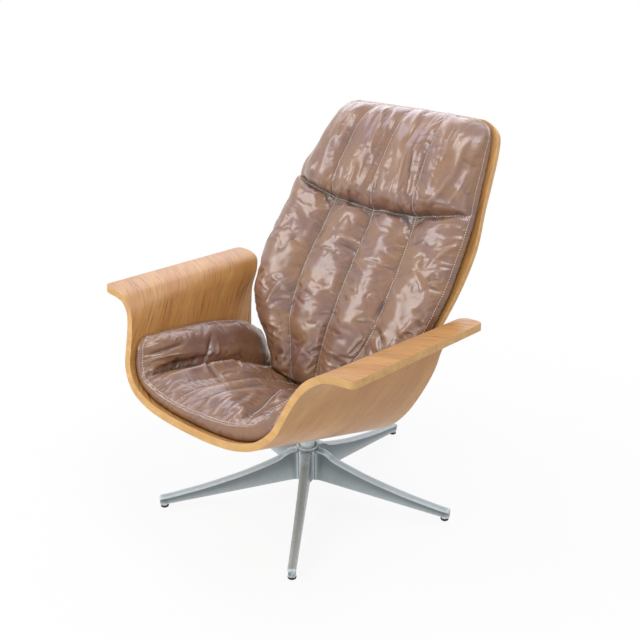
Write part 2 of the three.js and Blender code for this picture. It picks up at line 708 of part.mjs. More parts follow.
function mirroredX(geometry) {
  return turnInsideOut(geometry.clone().scale(-1, 1, 1));
}

function yokeBody() {
  const plateTop = -yokePlateDrop;
  const plateFoot = plateTop - yokePlateThickness;
  const outline = roundedRectangle(yokeEarOutside, yokePlateHalfLength, plateCornerRadius);
  const plate = prism(outline, plateFoot, plateTop);
  const ear = earBody(yokeEarRadius, plateTop - yokePlateThickness / 2, yokeEarRadius,
    yokeEarOutside - earThickness, yokeEarOutside);
  const boltHole = alongX(disc(pivotBoltRadius + seatGap, -tiltPlateHalfWidth, tiltPlateHalfWidth));
  const upper = leaned(cut(join(plate, ear, mirroredX(ear)), boltHole));
  const column = disc(yokeSocketRadius, washerTop, pivotHeight, hubSides);
  const above = leaned(prism(roundedRectangle(tiltPlateHalfWidth, tiltPlateHalfWidth, plateCornerRadius),
    plateTop - yokePlateThickness / 2, pivotHeight));
  const bore = disc(spindleRadius + seatGap, 0, spindleTop + seatGap, hubSides);
  return cut(join(upper, cut(column, above)), bore);
}

function bumperHeight(degrees) {
  const angle = degToRad(degrees);
  const reach = yokePlateHalfLength - plateCornerRadius + bumperRadius;
  return tiltPlateFoot * Math.cos(angle) - reach * Math.sin(angle) - seatGap;
}

function bumperBody(y, degrees) {
  const foot = seatGap - yokePlateDrop;
  const top = bumperHeight(degrees);
  const shoulder = lerp(foot, top, 0.75);
  return turned([[0, foot], [bumperRadius, foot], [bumperRadius, shoulder], [bumperRadiusTop, top], [0, top]])
    .translate(0, y, 0);
}

// One unbroken wire: a helix whose turns close up a little at both ends
function springBody() {
  const foot = seatGap - yokePlateDrop + springWire / 2;
  const top = tiltPlateFoot - seatGap - springWire / 2;
  const steps = springTurns * springStepsPerTurn;
  const closing = 0.3;
  const centre = Array.from({ length: steps + 1 }, (_, n) => {
    const share = n / steps;
    const eased = share - (closing * Math.sin(2 * Math.PI * share)) / (2 * Math.PI);
    const angle = share * springTurns * 2 * Math.PI;
    return new THREE.Vector3(Math.cos(angle) * springRadius, Math.sin(angle) * springRadius, lerp(foot, top, eased));
  });
  const positions = [];
  const corners = [];
  centre.forEach((point, n) => {
    const tangent = centre[Math.min(n + 1, steps)].clone().sub(centre[Math.max(n - 1, 0)]).normalize();
    const outwards = new THREE.Vector3(point.x, point.y, 0).normalize();
    const side = tangent.cross(outwards).normalize();
    for (let k = 0; k < springSides; k += 1) {
      const angle = (k / springSides) * 2 * Math.PI;
      const around = outwards.clone().multiplyScalar(Math.cos(angle)).addScaledVector(side, Math.sin(angle));
      positions.push(...point.clone().addScaledVector(around, springWire / 2).toArray());
    }
  });
  for (let n = 0; n < steps; n += 1) {
    for (let k = 0; k < springSides; k += 1) {
      const [a, b] = [n * springSides + k, n * springSides + ((k + 1) % springSides)];
      corners.push(a, b, b + springSides, a, b + springSides, a + springSides);
    }
  }
  const last = steps * springSides;
  for (let k = 1; k < springSides - 1; k += 1) {
    corners.push(0, k + 1, k, last, last + k, last + k + 1);
  }
  const geometry = new THREE.BufferGeometry();
  geometry.setAttribute('position', new THREE.Float32BufferAttribute(positions, 3));
  geometry.setIndex(corners);
  reportWireGap(centre);
  return signedVolume(geometry) < 0 ? turnInsideOut(geometry) : geometry;
}

// The least space between neighbouring turns of the wire, measured on its own points
function reportWireGap(centre) {
  let least = Infinity;
  centre.forEach((point, n) => {
    for (let m = n + springStepsPerTurn - 2; m < centre.length; m += 1) {
      least = Math.min(least, point.distanceTo(centre[m]));
    }
  });
  console.log(`spring: least gap between turns ${(least - springWire).toFixed(2)} mm`);
}

function addRockerFrame(group) {
  addPart(group, 'rocker_yoke', yokeBody(), castAluminium);
  const headInside = tiltEarOutside + seatGap;
  const nutInside = headInside;
  const shankEnd = nutInside + pivotNutThickness + pivotNutInset;
  const bolt = turned([[0, -headInside - pivotHeadThickness], [pivotHeadRadius, -headInside - pivotHeadThickness],
    [pivotHeadRadius, -headInside], [pivotBoltRadius, -headInside], [pivotBoltRadius, shankEnd], [0, shankEnd]]);
  addPart(group, 'pivot_bolt', leaned(alongX(bolt)), steel);
  const nutHole = disc(pivotBoltRadius + seatGap, nutInside - cutOverrun, nutInside + pivotNutThickness + cutOverrun);
  const blank = disc(pivotHeadRadius, nutInside, nutInside + pivotNutThickness, 6);
  addPart(group, 'pivot_nut', leaned(alongX(cut(blank, nutHole))), steel);
  const bumperY = yokePlateHalfLength - plateCornerRadius;
  addPart(group, 'bumper_front', leaned(bumperBody(-bumperY, tiltForwardDegrees)), rubber);
  addPart(group, 'bumper_rear', leaned(bumperBody(bumperY, tiltBackDegrees)), rubber);
  const spring = springBody();
  [[-1, -1], [1, -1], [-1, 1], [1, 1]].forEach(([sideX, sideY], n) => {
    const placed = spring.clone().translate(sideX * springOffsetX, sideY * springOffsetY, 0);
    addPart(group, `spring_${n + 1}`, leaned(placed), springSteel);
  });
}

function boltBody(length) {
  const rim = -boltHeadThickness * (1 - boltHeadCrownShare);
  return turned([[0, -boltHeadThickness], [boltHeadRadius * boltHeadCrownShare, -boltHeadThickness],
    [boltHeadRadius, rim], [boltHeadRadius, 0], [boltShankRadius, 0], [boltShankRadius, length], [0, length]],
  smallSides);
}

function boltHoleBody(length) {
  return disc(boltShankRadius + seatGap, -boltHeadThickness, length + seatGap, smallSides);
}

// A frame whose Z runs along a direction from a point
function frameAt(point, direction) {
  const turn = new THREE.Quaternion().setFromUnitVectors(new THREE.Vector3(0, 0, 1), direction.clone().normalize());
  return new THREE.Matrix4().makeRotationFromQuaternion(turn).setPosition(point);
}

// The place on the pan's surface, offset outwards, that has a given X
function panPoint(x, v, outwards) {
  let [low, high] = [-0.5, 0.5];
  for (let n = 0; n < 24; n += 1) {
    const middle = (low + high) / 2;
    if (seatSurface(middle, v, outwards).x < x) low = middle;
    else high = middle;
  }
  return seatSurface((low + high) / 2, v, outwards);
}

function cleatBoltFrames() {
  const foot = tiltPlateFoot - seatGap;
  const places = [[-1, -1], [1, -1], [-1, 1], [1, 1]];
  return places.map(([sideX, sideY]) => rockFrame.clone().multiply(
    new THREE.Matrix4().makeTranslation(sideX * cleatOffsetX, sideY * cleatBoltOffsetY, foot)));
}

const cleatBoltLength = panUnderside + shellBoltBite - tiltPlateFoot;

function tiltPlateBody() {
  const outline = roundedRectangle(tiltPlateHalfWidth, tiltPlateHalfLength, plateCornerRadius);
  const plate = prism(outline, tiltPlateFoot, tiltPlateTop);
  const ear = earBody(tiltEarHalfLength, tiltPlateFoot + tiltPlateThickness / 2, earRadius, tiltEarInside, tiltEarOutside);
  const bushHole = pivotBoltRadius + runningGap + pivotBushWall + seatGap;
  const hole = alongX(disc(bushHole, -tiltPlateHalfWidth, tiltPlateHalfWidth));
  const body = leaned(cut(join(plate, ear, mirroredX(ear)), hole));
  const holes = cleatBoltFrames().map((frame) => boltHoleBody(cleatBoltLength).applyMatrix4(frame));
  return cut(body, ...holes);
}

function pivotBushBody() {
  const inner = pivotBoltRadius + runningGap;
  const outer = inner + pivotBushWall;
  const flangeFrom = yokeEarOutside + seatGap;
  const flangeTo = flangeFrom + pivotBushFlange;
  return alongX(turned([[inner, flangeFrom], [earRadius - seatGap, flangeFrom], [earRadius - seatGap, flangeTo],
    [outer, flangeTo], [outer, tiltEarOutside], [inner, tiltEarOutside], [inner, flangeFrom]]));
}

// A wooden bar between the tilt plate and the pan, its top following the pan's underside
function cleatBody(side) {
  const columns = 3;
  const rows = 3;
  const pan = panRear.distanceTo(panFront);
  const onPan = (y) => {
    const level = panRear.clone().applyMatrix4(rockFrameBack).y;
    return 1 - (level - y) / pan;
  };
  const at = (i, j, top) => {
    const x = side * cleatOffsetX + lerp(-cleatHalfWidth, cleatHalfWidth, i / columns);
    const y = lerp(-cleatHalfLength, cleatHalfLength, j / rows);
    if (top) return panPoint(x, onPan(y), seatPlyThickness + seatGap);
    return new THREE.Vector3(x, y, tiltPlateTop + seatGap).applyMatrix4(rockFrame);
  };
  const bar = slabBetween(columns, rows, (i, j) => at(i, j, true), (i, j) => at(i, j, false));
  const holes = cleatBoltFrames().map((frame) => boltHoleBody(cleatBoltLength).applyMatrix4(frame));
  return cut(bar, ...holes);
}

function addTiltPlate(group) {
  addPart(group, 'tilt_plate', tiltPlateBody(), blackSteel);
  const bush = pivotBushBody();
  addPart(group, 'pivot_bush_left', leaned(mirroredX(bush)), nylon);
  addPart(group, 'pivot_bush_right', leaned(bush), nylon);
  addPart(group, 'cleat_left', cleatBody(-1), beech);
  addPart(group, 'cleat_right', cleatBody(1), beech);
  cleatBoltFrames().forEach((frame, n) => {
    addPart(group, `plate_bolt_${n + 1}`, boltBody(cleatBoltLength).applyMatrix4(frame), steel);
  });
}

// The strap's upper face: under the pan, round the bend, then up behind the back shell
const strapFromPan = seatPlyThickness + seatGap;
const strapFromBack = backPlyThickness + mountThickness + mountGap * 2;

function strapPoint(x, row) {
  if (row <= bracketSeatRows) return panPoint(x, lerp(bracketFrontShare, 1, row / bracketSeatRows), strapFromPan);
  const start = bracketBendShare * backLength;
  const upper = row - bracketSeatRows - bracketBendRows;
  if (upper >= 0) {
    return backSurface(x, lerp(start, bracketTopShare * backLength, upper / bracketBackRows), -strapFromBack);
  }
  const end = panPoint(x, 1, strapFromPan);
  const from = end.clone().sub(panPoint(x, 0.9, strapFromPan)).setLength(bracketBendHandle).add(end);
  const top = backSurface(x, start, -strapFromBack);
  const above = backSurface(x, start * 2, -strapFromBack);
  const into = top.clone().sub(above).setLength(bracketBendHandle).add(top);
  const bend = new THREE.CubicBezierCurve3(end, from, into, top);
  return bend.getPoint((row - bracketSeatRows) / bracketBendRows).setX(x);
}

function strapOuterPoint(x, row) {
  const step = 0.01;
  const along = strapPoint(x, row + step).sub(strapPoint(x, row - step));
  const normal = along.setX(0).cross(new THREE.Vector3(1, 0, 0)).normalize();
  return strapPoint(x, row).addScaledVector(normal, bracketThickness);
}

function seatBoltFrames(side) {
  return bracketSeatBoltShares.map((v) => {
    const outer = panPoint(side * bracketOffsetX, v, strapFromPan + bracketThickness + headGap);
    const inner = panPoint(side * bracketOffsetX, v, 0);
    return frameAt(outer, inner.sub(outer));
  });
}

// From behind the strap towards the sitter
function backFrame(side, share, behind) {
  const x = side * bracketOffsetX;
  const s = share * backLength;
  const outer = backSurface(x, s, -behind);
  return frameAt(outer, backSurface(x, s, 0).sub(backSurface(x, s, -backPlyThickness)));
}

const seatBoltLength = headGap + bracketThickness + seatGap + shellBoltBite;
const backBoltLength = headGap + bracketThickness + mountGap + mountThickness + mountGap + shellBoltBite;

function backBoltFrames(side) {
  return bracketBackBoltShares.map((share) => backFrame(side, share, strapFromBack + bracketThickness + headGap));
}

function strapBody(side) {
  const rows = bracketSeatRows + bracketBendRows + bracketBackRows;
  const x = (i) => side * bracketOffsetX + lerp(-bracketWidth, bracketWidth, i / bracketColumns) / 2;
  const strap = slabBetween(bracketColumns, rows, (i, j) => strapPoint(x(i), j), (i, j) => strapOuterPoint(x(i), j));
  const holes = [...seatBoltFrames(side).map((frame) => boltHoleBody(seatBoltLength).applyMatrix4(frame)),
    ...backBoltFrames(side).map((frame) => boltHoleBody(backBoltLength).applyMatrix4(frame))];
  return cut(strap, ...holes);
}

function addBrackets(group) {
  [['left', -1], ['right', 1]].forEach(([label, side]) => {
    addPart(group, `back_bracket_${label}`, strapBody(side), blackSteel);
    seatBoltFrames(side).forEach((frame, n) => {
      addPart(group, `bracket_seat_bolt_${label}_${n + 1}`, boltBody(seatBoltLength).applyMatrix4(frame), steel);
    });
    backBoltFrames(side).forEach((frame, n) => {
      addPart(group, `bracket_back_bolt_${label}_${n + 1}`, boltBody(backBoltLength).applyMatrix4(frame), steel);
    });
    bracketBackBoltShares.forEach((share, n) => {
      const disk = ring(boltShankRadius + seatGap, mountRadius, 0, mountThickness);
      const frame = backFrame(side, share, backPlyThickness + mountGap + mountThickness);
      addPart(group, `back_mount_${label}_${n + 1}`, disk.applyMatrix4(frame), rubber);
    });
  });
}

function addShells(group) {
  const cleatHoles = cleatBoltFrames().map((frame) => boltHoleBody(cleatBoltLength).applyMatrix4(frame));
  const seatHoles = [-1, 1].flatMap(seatBoltFrames).map((frame) => boltHoleBody(seatBoltLength).applyMatrix4(frame));
  const shell = cut(seatShellBody(0, seatPlyThickness), ...cleatHoles, ...seatHoles);
  addPart(group, 'seat_shell', shell, plywood);
  const backHoles = [-1, 1].flatMap(backBoltFrames).map((frame) => boltHoleBody(backBoltLength).applyMatrix4(frame));
  addPart(group, 'back_shell', cut(backShellBody(), ...backHoles), plywood);
  addPart(group, 'seat_cushion', seatCushionBody(), leather);
  addPart(group, 'back_cushion', backCushionBody(), leather);
}

// The whole chair, centred on its own box in Y
function chair() {
  const group = new THREE.Group();
  group.name = 'swivel_rocker';
  addBase(group);
  addSpindle(group);
  addRockerFrame(group);
  addTiltPlate(group);
  addShells(group);
  addBrackets(group);
  const box = new THREE.Box3().setFromObject(group);
  const shift = -(box.min.y + box.max.y) / 2;
  group.children.forEach((mesh) => {
    mesh.geometry.translate(0, shift, 0);
    mesh.geometry.computeVertexNormals();
  });
  console.log(`shift in Y ${shift.toFixed(3)} mm, pan tilt ${THREE.MathUtils.radToDeg(panTilt).toFixed(2)} degrees`);
  return group;
}

export default chair();
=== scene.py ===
"""A swivel rocker lounge chair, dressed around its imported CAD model.

Moulded plywood shells carry quilted leather cushions, on a sprung rocking mechanism and a cast five-legged
base. The forms below are in millimetres with the swivel axis at X = Y = 0, as in the CAD source. A mesh is
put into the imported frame, in metres, when it is made.
"""

import logging
import math
from dataclasses import dataclass, field
from enum import Enum

import bmesh
import bpy
import numpy as np
from mathutils import Matrix, Vector


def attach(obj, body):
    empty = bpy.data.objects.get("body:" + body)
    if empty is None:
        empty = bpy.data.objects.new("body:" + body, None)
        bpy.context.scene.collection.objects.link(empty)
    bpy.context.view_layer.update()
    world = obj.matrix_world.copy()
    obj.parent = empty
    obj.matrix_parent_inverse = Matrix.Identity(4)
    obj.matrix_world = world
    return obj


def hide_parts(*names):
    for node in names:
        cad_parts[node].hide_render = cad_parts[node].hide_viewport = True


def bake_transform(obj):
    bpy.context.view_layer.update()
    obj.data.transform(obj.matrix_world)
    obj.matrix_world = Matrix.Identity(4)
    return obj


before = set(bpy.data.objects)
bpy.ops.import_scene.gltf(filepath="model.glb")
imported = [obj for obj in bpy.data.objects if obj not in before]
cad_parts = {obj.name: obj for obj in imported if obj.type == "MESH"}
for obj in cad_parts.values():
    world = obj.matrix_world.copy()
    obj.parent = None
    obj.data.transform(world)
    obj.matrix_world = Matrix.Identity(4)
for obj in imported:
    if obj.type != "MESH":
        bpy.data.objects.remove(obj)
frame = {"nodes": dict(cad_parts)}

MILLIMETRE = 0.001
CAD_SHIFT_Y = -26.641
GRAIN_MAP = "grain"
PLY_DEPTH = "ply_depth"
# The first attribute paints shade in hollows and a lighter tone on crests; the second paints shade in seam
# grooves, along the border, down the boxing and under the cushion.
FOLD_SHADING = "fold_shading"
SEAM_SHADE = "seam_shade"
Array = np.ndarray
Numbers = np.ndarray | float
Piece = bpy.types.Object
Socket = bpy.types.NodeSocket
Material = bpy.types.Material

log = logging.getLogger("swivel_rocker")


class Body(Enum):
    """The CAD bodies that pieces ride on."""

    BASE = "base"
    SWIVEL = "swivel"
    SEAT = "seat"


class Slot(Enum):
    """The record's material slots."""

    PLYWOOD = "plywood"
    LEATHER = "leather"
    CAST_ALUMINIUM = "cast_aluminium"
    STEEL = "steel"
    BLACK_STEEL = "black_steel"
    SPRING_STEEL = "spring_steel"
    BLACK_PLASTIC = "black_plastic"
    RUBBER = "rubber"
    NYLON = "nylon"
    BEECH = "beech"


# Points and tables


def in_frame(points: Array) -> Array:
    """Moves points from the forms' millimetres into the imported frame.

    Args:
        points: Points whose last axis is X, Y, Z, in millimetres about the swivel axis.

    Returns:
        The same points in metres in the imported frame.
    """
    return (np.asarray(points, float) + [0, CAD_SHIFT_Y, 0]) * MILLIMETRE


def in_forms(points: Array) -> Array:
    """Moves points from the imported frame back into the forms' millimetres."""
    return np.asarray(points, float) / MILLIMETRE - [0, CAD_SHIFT_Y, 0]


def blend_between(start: Numbers, end: Numbers, share: Numbers) -> Array:
    """Reads the straight line between two values.

    Args:
        start: Value at share 0.
        end: Value at share 1.
        share: Where to read.

    Returns:
        The value there.
    """
    return np.asarray(start) + (np.asarray(end) - np.asarray(start)) * share


def read_shares(table: tuple, place: Numbers) -> Array:
    """Reads a table of places and values by straight lines.

    Args:
        table: Pairs of place and value.
        place: Where to read it.

    Returns:
        The values there.
    """
    places, values = zip(*table)
    return np.interp(place, places, values)


def unit(vectors: Array) -> Array:
    """Gives vectors a length of one.

    Args:
        vectors: Vectors along the last axis.

    Returns:
        The unit vectors.
    """
    return vectors / np.maximum(np.linalg.norm(vectors, axis=-1, keepdims=True), 1e-12)


def rolled(distance: Array, roll: float) -> Array:
    """Height of a padded edge that rolls over near its border.

    Args:
        distance: Distance from the border.
        roll: Distance at which the pad is full.

    Returns:
        Shares of the full height.
    """
    left = 1 - np.clip(distance / roll, 0, 1)
    return np.sqrt(1 - left**2)


def doubled(values: Array, closed: bool = False) -> Array:
    """Puts a smooth midpoint between neighbours along the first axis.

    Args:
        values: Samples, at least four along the first axis.
        closed: Whether the last sample is next to the first.

    Returns:
        Twice as many samples, less one where the row is open.
    """
    if closed:
        before, after, far = np.roll(values, 1, 0), np.roll(values, -1, 0), np.roll(values, -2, 0)
        middle = (9 * (values + after) - before - far) / 16
        result = np.empty((2 * len(values), *values.shape[1:]))
        result[0::2], result[1::2] = values, middle
        return result
    padded = np.concatenate([2 * values[:1] - values[1:2], values, 2 * values[-1:] - values[-2:-1]])
    middle = (9 * (padded[1:-2] + padded[2:-1]) - padded[:-3] - padded[3:]) / 16
    result = np.empty((2 * len(values) - 1, *values.shape[1:]))
    result[0::2], result[1::2] = values, middle
    return result


def refined(grid: Array) -> Array:
    """Doubles a grid both ways."""
    return doubled(doubled(grid).swapaxes(0, 1)).swapaxes(0, 1)


def travelled(track: Array) -> Array:
    """How far along a line each of its points lies."""
    return np.concatenate([[0.0], np.cumsum(np.linalg.norm(np.diff(track, axis=0), axis=1))])


def rumple(across: Array, along: Array, seed: int) -> Array:
    """Smooth seeded gradient noise in two directions.

    Args:
        across: First coordinate, in cells.
        along: Second coordinate, in cells.
        seed: Picks the pattern.

    Returns:
        Values from about -0.7 to 0.7.
    """
    column, row = np.floor(across).astype(np.int64), np.floor(along).astype(np.int64)
    left, low = across - column, along - row

    def slope(step_x: int, step_y: int) -> Array:
        """The pull of one corner of the cell.

        Args:
            step_x: 0 or 1, across the cell.
            step_y: 0 or 1, up the cell.

        Returns:
            The corner's pull.
        """
        mixed = ((column + step_x) * 374761393 + (row + step_y) * 668265263 + seed * 144269504) & 0xFFFFFFFF
        mixed = ((mixed ^ (mixed >> 13)) * 1274126177) & 0xFFFFFFFF
        angle = (mixed ^ (mixed >> 16)) / 2**32 * 2 * math.pi
        return np.cos(angle) * (left - step_x) + np.sin(angle) * (low - step_y)

    ease_x = left**3 * (left * (left * 6 - 15) + 10)
    ease_y = low**3 * (low * (low * 6 - 15) + 10)
    lower = blend_between(slope(0, 0), slope(1, 0), ease_x)
    upper = blend_between(slope(0, 1), slope(1, 1), ease_x)
    return blend_between(lower, upper, ease_y)


def crease_lines(across: Array, along: Array, seed: int, width: float = 0.09) -> Array:
    """Thin curved creases that come and go.

    Args:
        across: First coordinate, in cells.
        along: Second coordinate, in cells.
        seed: Picks the pattern.
        width: Half the creases' width, in the noise's own values.

    Returns:
        One on a crease and zero away from it.
    """
    line = np.exp(-((rumple(across, along, seed) / width) ** 2))
    where = np.clip(rumple(across * 0.4 + 9, along * 0.4, seed + 50) * 4, 0, 1)
    return line * where


class SplineLine:
    """A centripetal spline through points, read by share of its parts or by share of its length."""

    length_steps = 400
    heading_step = 1e-4

    def __init__(self, points: list) -> None:
        """Keeps the points and measures the line.

        Args:
            points: Points that the line passes through.
        """
        self.points = np.asarray(points, float)
        self.travelled = travelled(self.at(np.linspace(0, 1, self.length_steps + 1)))
        self.length = float(self.travelled[-1])

    def at(self, share: Array) -> Array:
        """Points at shares of the line's parts.

        Args:
            share: From 0 at the first point to 1 at the last.

        Returns:
            One point for each share.
        """
        share = np.asarray(share, float)
        last = len(self.points) - 1
        place = np.clip(share, 0, 1) * last
        part = np.minimum(np.floor(place).astype(int), last - 1)
        weight = (place - part)[..., None]
        ends = np.concatenate([2 * self.points[:1] - self.points[1:2], self.points,
                               2 * self.points[-1:] - self.points[-2:-1]])
        p0, p1, p2, p3 = (ends[part + step] for step in range(4))

        def knot(start: Array, end: Array) -> Array:
            """The spline's own step between two points."""
            return np.sqrt(np.linalg.norm(end - start, axis=-1, keepdims=True))

        d0, d1, d2 = knot(p0, p1), knot(p1, p2), knot(p2, p3)
        t1 = ((p1 - p0) / d0 - (p2 - p0) / (d0 + d1) + (p2 - p1) / d1) * d1
        t2 = ((p2 - p1) / d1 - (p3 - p1) / (d1 + d2) + (p3 - p2) / d2) * d1
        c2 = -3 * p1 + 3 * p2 - 2 * t1 - t2
        c3 = 2 * p1 - 2 * p2 + t1 + t2
        return p1 + weight * (t1 + weight * (c2 + weight * c3))

    def part_share(self, length_share: Array) -> Array:
        """Turns shares of the length into shares of the parts."""
        return np.interp(np.asarray(length_share) * self.length, self.travelled,
                         np.linspace(0, 1, self.length_steps + 1))

    def along(self, length_share: Array) -> Array:
        """Points at shares of the line's length."""
        return self.at(self.part_share(length_share))

    def heading(self, length_share: Array) -> Array:
        """Unit directions at shares of the line's length."""
        share, step = self.part_share(length_share), self.heading_step
        return unit(self.at(np.minimum(share + step, 1)) - self.at(np.maximum(share - step, 0)))


def read_smooth(table: tuple, place: Numbers, steps: int = 800) -> Array:
    """Reads a table of places and values by a smooth line through them.

    Args:
        table: Pairs of place and value.
        place: Where to read it.
        steps: Points of the line.

    Returns:
        The values there.
    """
    line = SplineLine([(spot, value, 0) for spot, value in table]).at(np.linspace(0, 1, steps))
    return np.interp(place, line[:, 0], line[:, 1])


# Meshes


def new_piece(name: str, points: Array, faces: list, smooth: bool = True) -> Piece:
    """Makes a mesh piece in the scene, its faces turned outwards.

    Args:
        name: The piece's name.
        points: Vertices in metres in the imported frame.
        faces: Vertex indices of each face.
        smooth: Whether it is shaded smooth.

    Returns:
        The new object.
    """
    mesh = bpy.data.meshes.new(name)
    mesh.from_pydata(np.asarray(points, float).reshape(-1, 3).tolist(), [], faces)
    work = bmesh.new()
    work.from_mesh(mesh)
    bmesh.ops.recalc_face_normals(work, faces=work.faces)
    work.to_mesh(mesh)
    work.free()
    mesh.polygons.foreach_set("use_smooth", [smooth] * len(mesh.polygons))
    mesh.update()
    piece = bpy.data.objects.new(name, mesh)
    bpy.context.scene.collection.objects.link(piece)
    return piece


def settle(piece: Piece, body: Body, slot: Slot, *nodes: str) -> Piece:
    """Gives a piece its body and hides the CAD nodes that it stands for.

    Args:
        piece: The finished piece.
        body: The body that it rides on.
        slot: The record's slot of its finish; not used.
        nodes: CAD nodes that it replaces.

    Returns:
        The piece.
    """
    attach(piece, body.value)
    if nodes:
        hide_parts(*nodes)
    log.info("%s: %d faces", piece.name, len(piece.data.polygons))
    return piece


def give_values(piece: Piece, name: str, values: Array) -> None:
    """Stores one number for each vertex under a name that a finish can read.

    Args:
        piece: The mesh piece.
        name: The attribute's name.
        values: One value for each vertex.
    """
    layer = piece.data.attributes.new(name, "FLOAT", "POINT")
    layer.data.foreach_set("value", np.asarray(values, np.float32).ravel())


def grid_faces(rows: int, columns: int, first: int = 0, closed: bool = False) -> list:
    """Faces of a grid of vertices.

    Args:
        rows: Vertices up the grid.
        columns: Vertices across the grid.
        first: Index of its first vertex.
        closed: Whether the last column joins the first.

    Returns:
        Four vertex indices for each face.
    """
    spans = columns if closed else columns - 1
    row, column = np.meshgrid(np.arange(rows - 1), np.arange(spans), indexing="ij")
    after = (column + 1) % columns
    corners = [row * columns + column, row * columns + after, (row + 1) * columns + after,
               (row + 1) * columns + column]
    return (np.stack(corners, -1).reshape(-1, 4) + first).tolist()


def tube_faces(rings: int, sides: int, first: int = 0) -> list:
    """Faces of a tube of rings, with a cap on both ends.

    Args:
        rings: Rings along the tube.
        sides: Vertices of each ring.
        first: Index of its first vertex.

    Returns:
        Vertex indices of each face.
    """
    last = first + (rings - 1) * sides
    caps = [list(range(start, start + sides)) for start in (first, last)]
    return grid_faces(rings, sides, first, closed=True) + caps


def round_sections(centre: Array, radius: Numbers, side: Array, up: Array, sides: int) -> Array:
    """Rings of points round a line.

    Args:
        centre: Points of the line.
        radius: One radius, or one for each point.
        side: First direction of each ring's plane.
        up: Second direction of each ring's plane.
        sides: Vertices of each ring.

    Returns:
        The points, ring by ring.
    """
    angle = np.arange(sides) / sides * 2 * math.pi
    ring = np.cos(angle)[None, :, None] * side[:, None] + np.sin(angle)[None, :, None] * up[:, None]
    return (centre[:, None] + np.reshape(radius, (-1, 1, 1)) * ring).reshape(-1, 3)


def border_loop(rows: int, columns: int) -> Array:
    """Indices of a grid's border vertices in order.

    Args:
        rows: Vertices up the grid.
        columns: Vertices across the grid.

    Returns:
        Each border vertex once, round the grid.
    """
    index = np.arange(rows * columns).reshape(rows, columns)
    return np.concatenate([index[0, :-1], index[:-1, -1], index[-1, :0:-1], index[:0:-1, 0]])


# Shader nodes


class NodeBench:
    """Adds and joins the nodes of one tree."""

    def __init__(self, tree: bpy.types.NodeTree) -> None:
        """Keeps the tree."""
        self.tree = tree

    def add(self, kind: str, inputs: dict | None = None, **settings: object) -> bpy.types.Node:
        """Adds a node.

        Args:
            kind: The node's type name.
            inputs: Values or sockets for its inputs, by name or index.
            settings: The node's own properties.

        Returns:
            The node.
        """
        node = self.tree.nodes.new(kind)
        for name, value in settings.items():
            setattr(node, name, value)
        self.feed_all(node, inputs or {})
        return node

    def feed(self, socket: Socket, value: object) -> None:
        """Links a socket to an input, or sets the input's value.

        Args:
            socket: The input.
            value: A socket to link, or a plain value.
        """
        if isinstance(value, Socket):
            self.tree.links.new(value, socket)
        else:
            socket.default_value = value

    def feed_all(self, node: bpy.types.Node, inputs: dict) -> None:
        """Feeds several inputs of a node, by name or index."""
        for key, value in inputs.items():
            self.feed(node.inputs[key], value)

    def math(self, operation: str, first: object, second: object = 0.0, clamp: bool = False) -> Socket:
        """Adds a Math node and gives its result."""
        inputs = {0: first, 1: second}
        return self.add("ShaderNodeMath", inputs, operation=operation, use_clamp=clamp).outputs[0]

    def mix(self, share: object, first: object, second: object) -> Socket:
        """Mixes two colours and gives the result."""
        inputs = {0: share, 6: first, 7: second}
        return self.add("ShaderNodeMix", inputs, data_type="RGBA", clamp_factor=True).outputs[2]

    def spread(self, value: object, low: float, high: float, to_low: float = 0.0,
               to_high: float = 1.0) -> Socket:
        """Maps a range of values onto another, clamped."""
        inputs = {0: value, 1: low, 2: high, 3: to_low, 4: to_high}
        return self.add("ShaderNodeMapRange", inputs, clamp=True).outputs[0]

    def attribute(self, name: str) -> Socket:
        """Reads a number that is stored on the mesh."""
        return self.add("ShaderNodeAttribute", attribute_name=name).outputs["Fac"]

    def noise(self, place: object, scale: object, detail: float = 3.0, rough: float = 0.5,
              warp: float = 0.0) -> Socket:
        """Adds a Noise texture and gives its value."""
        node = self.add("ShaderNodeTexNoise", {"Vector": place, "Scale": scale, "Detail": detail,
                                               "Roughness": rough, "Distortion": warp})
        return node.outputs[0]

    def stretched(self, place: object, scale: tuple) -> Socket:
        """Scales a coordinate and gives the result."""
        node = self.add("ShaderNodeMapping", {"Vector": place, "Scale": scale})
        return node.outputs[0]


@dataclass(frozen=True)
class GroupSocket:
    """A named input or output of a shader node group."""

    name: str
    kind: str
    value: object = None


NUMBER, COLOUR, PLACE = "NodeSocketFloat", "NodeSocketColor", "NodeSocketVector"


class EffectGroup:
    """A shader node group that several finishes share. It is built when it is first asked for."""

    name = "effect"
    inputs: tuple = ()
    outputs: tuple = ()

    def tree(self) -> bpy.types.NodeTree:
        """Finds or builds the group's tree.

        Returns:
            The node tree.
        """
        found = bpy.data.node_groups.get(self.name)
        if found:
            return found
        tree = bpy.data.node_groups.new(self.name, "ShaderNodeTree")
        for sockets, side in ((self.inputs, "INPUT"), (self.outputs, "OUTPUT")):
            for socket in sockets:
                made = tree.interface.new_socket(socket.name, in_out=side, socket_type=socket.kind)
                if socket.value is not None:
                    made.default_value = socket.value
        bench = NodeBench(tree)
        entry, leave = bench.add("NodeGroupInput"), bench.add("NodeGroupOutput")
        for name, value in self.wire(bench, entry.outputs).items():
            bench.feed(leave.inputs[name], value)
        return tree

    def wire(self, bench: NodeBench, given: object) -> dict:
        """Builds the effect.

        Args:
            bench: Where its nodes go.
            given: The group's input sockets by name.

        Returns:
            What feeds each output, by name.
        """
        raise NotImplementedError

    def place_in(self, bench: NodeBench, values: dict) -> object:
        """Puts the group into a material with its own values.

        Args:
            bench: The material's nodes.
            values: Values or sockets for the group's inputs.

        Returns:
            The group node's outputs by name.
        """
        node = bench.add("ShaderNodeGroup", node_tree=self.tree())
        for name, value in values.items():
            bench.feed(node.inputs[name], value)
        return node.outputs


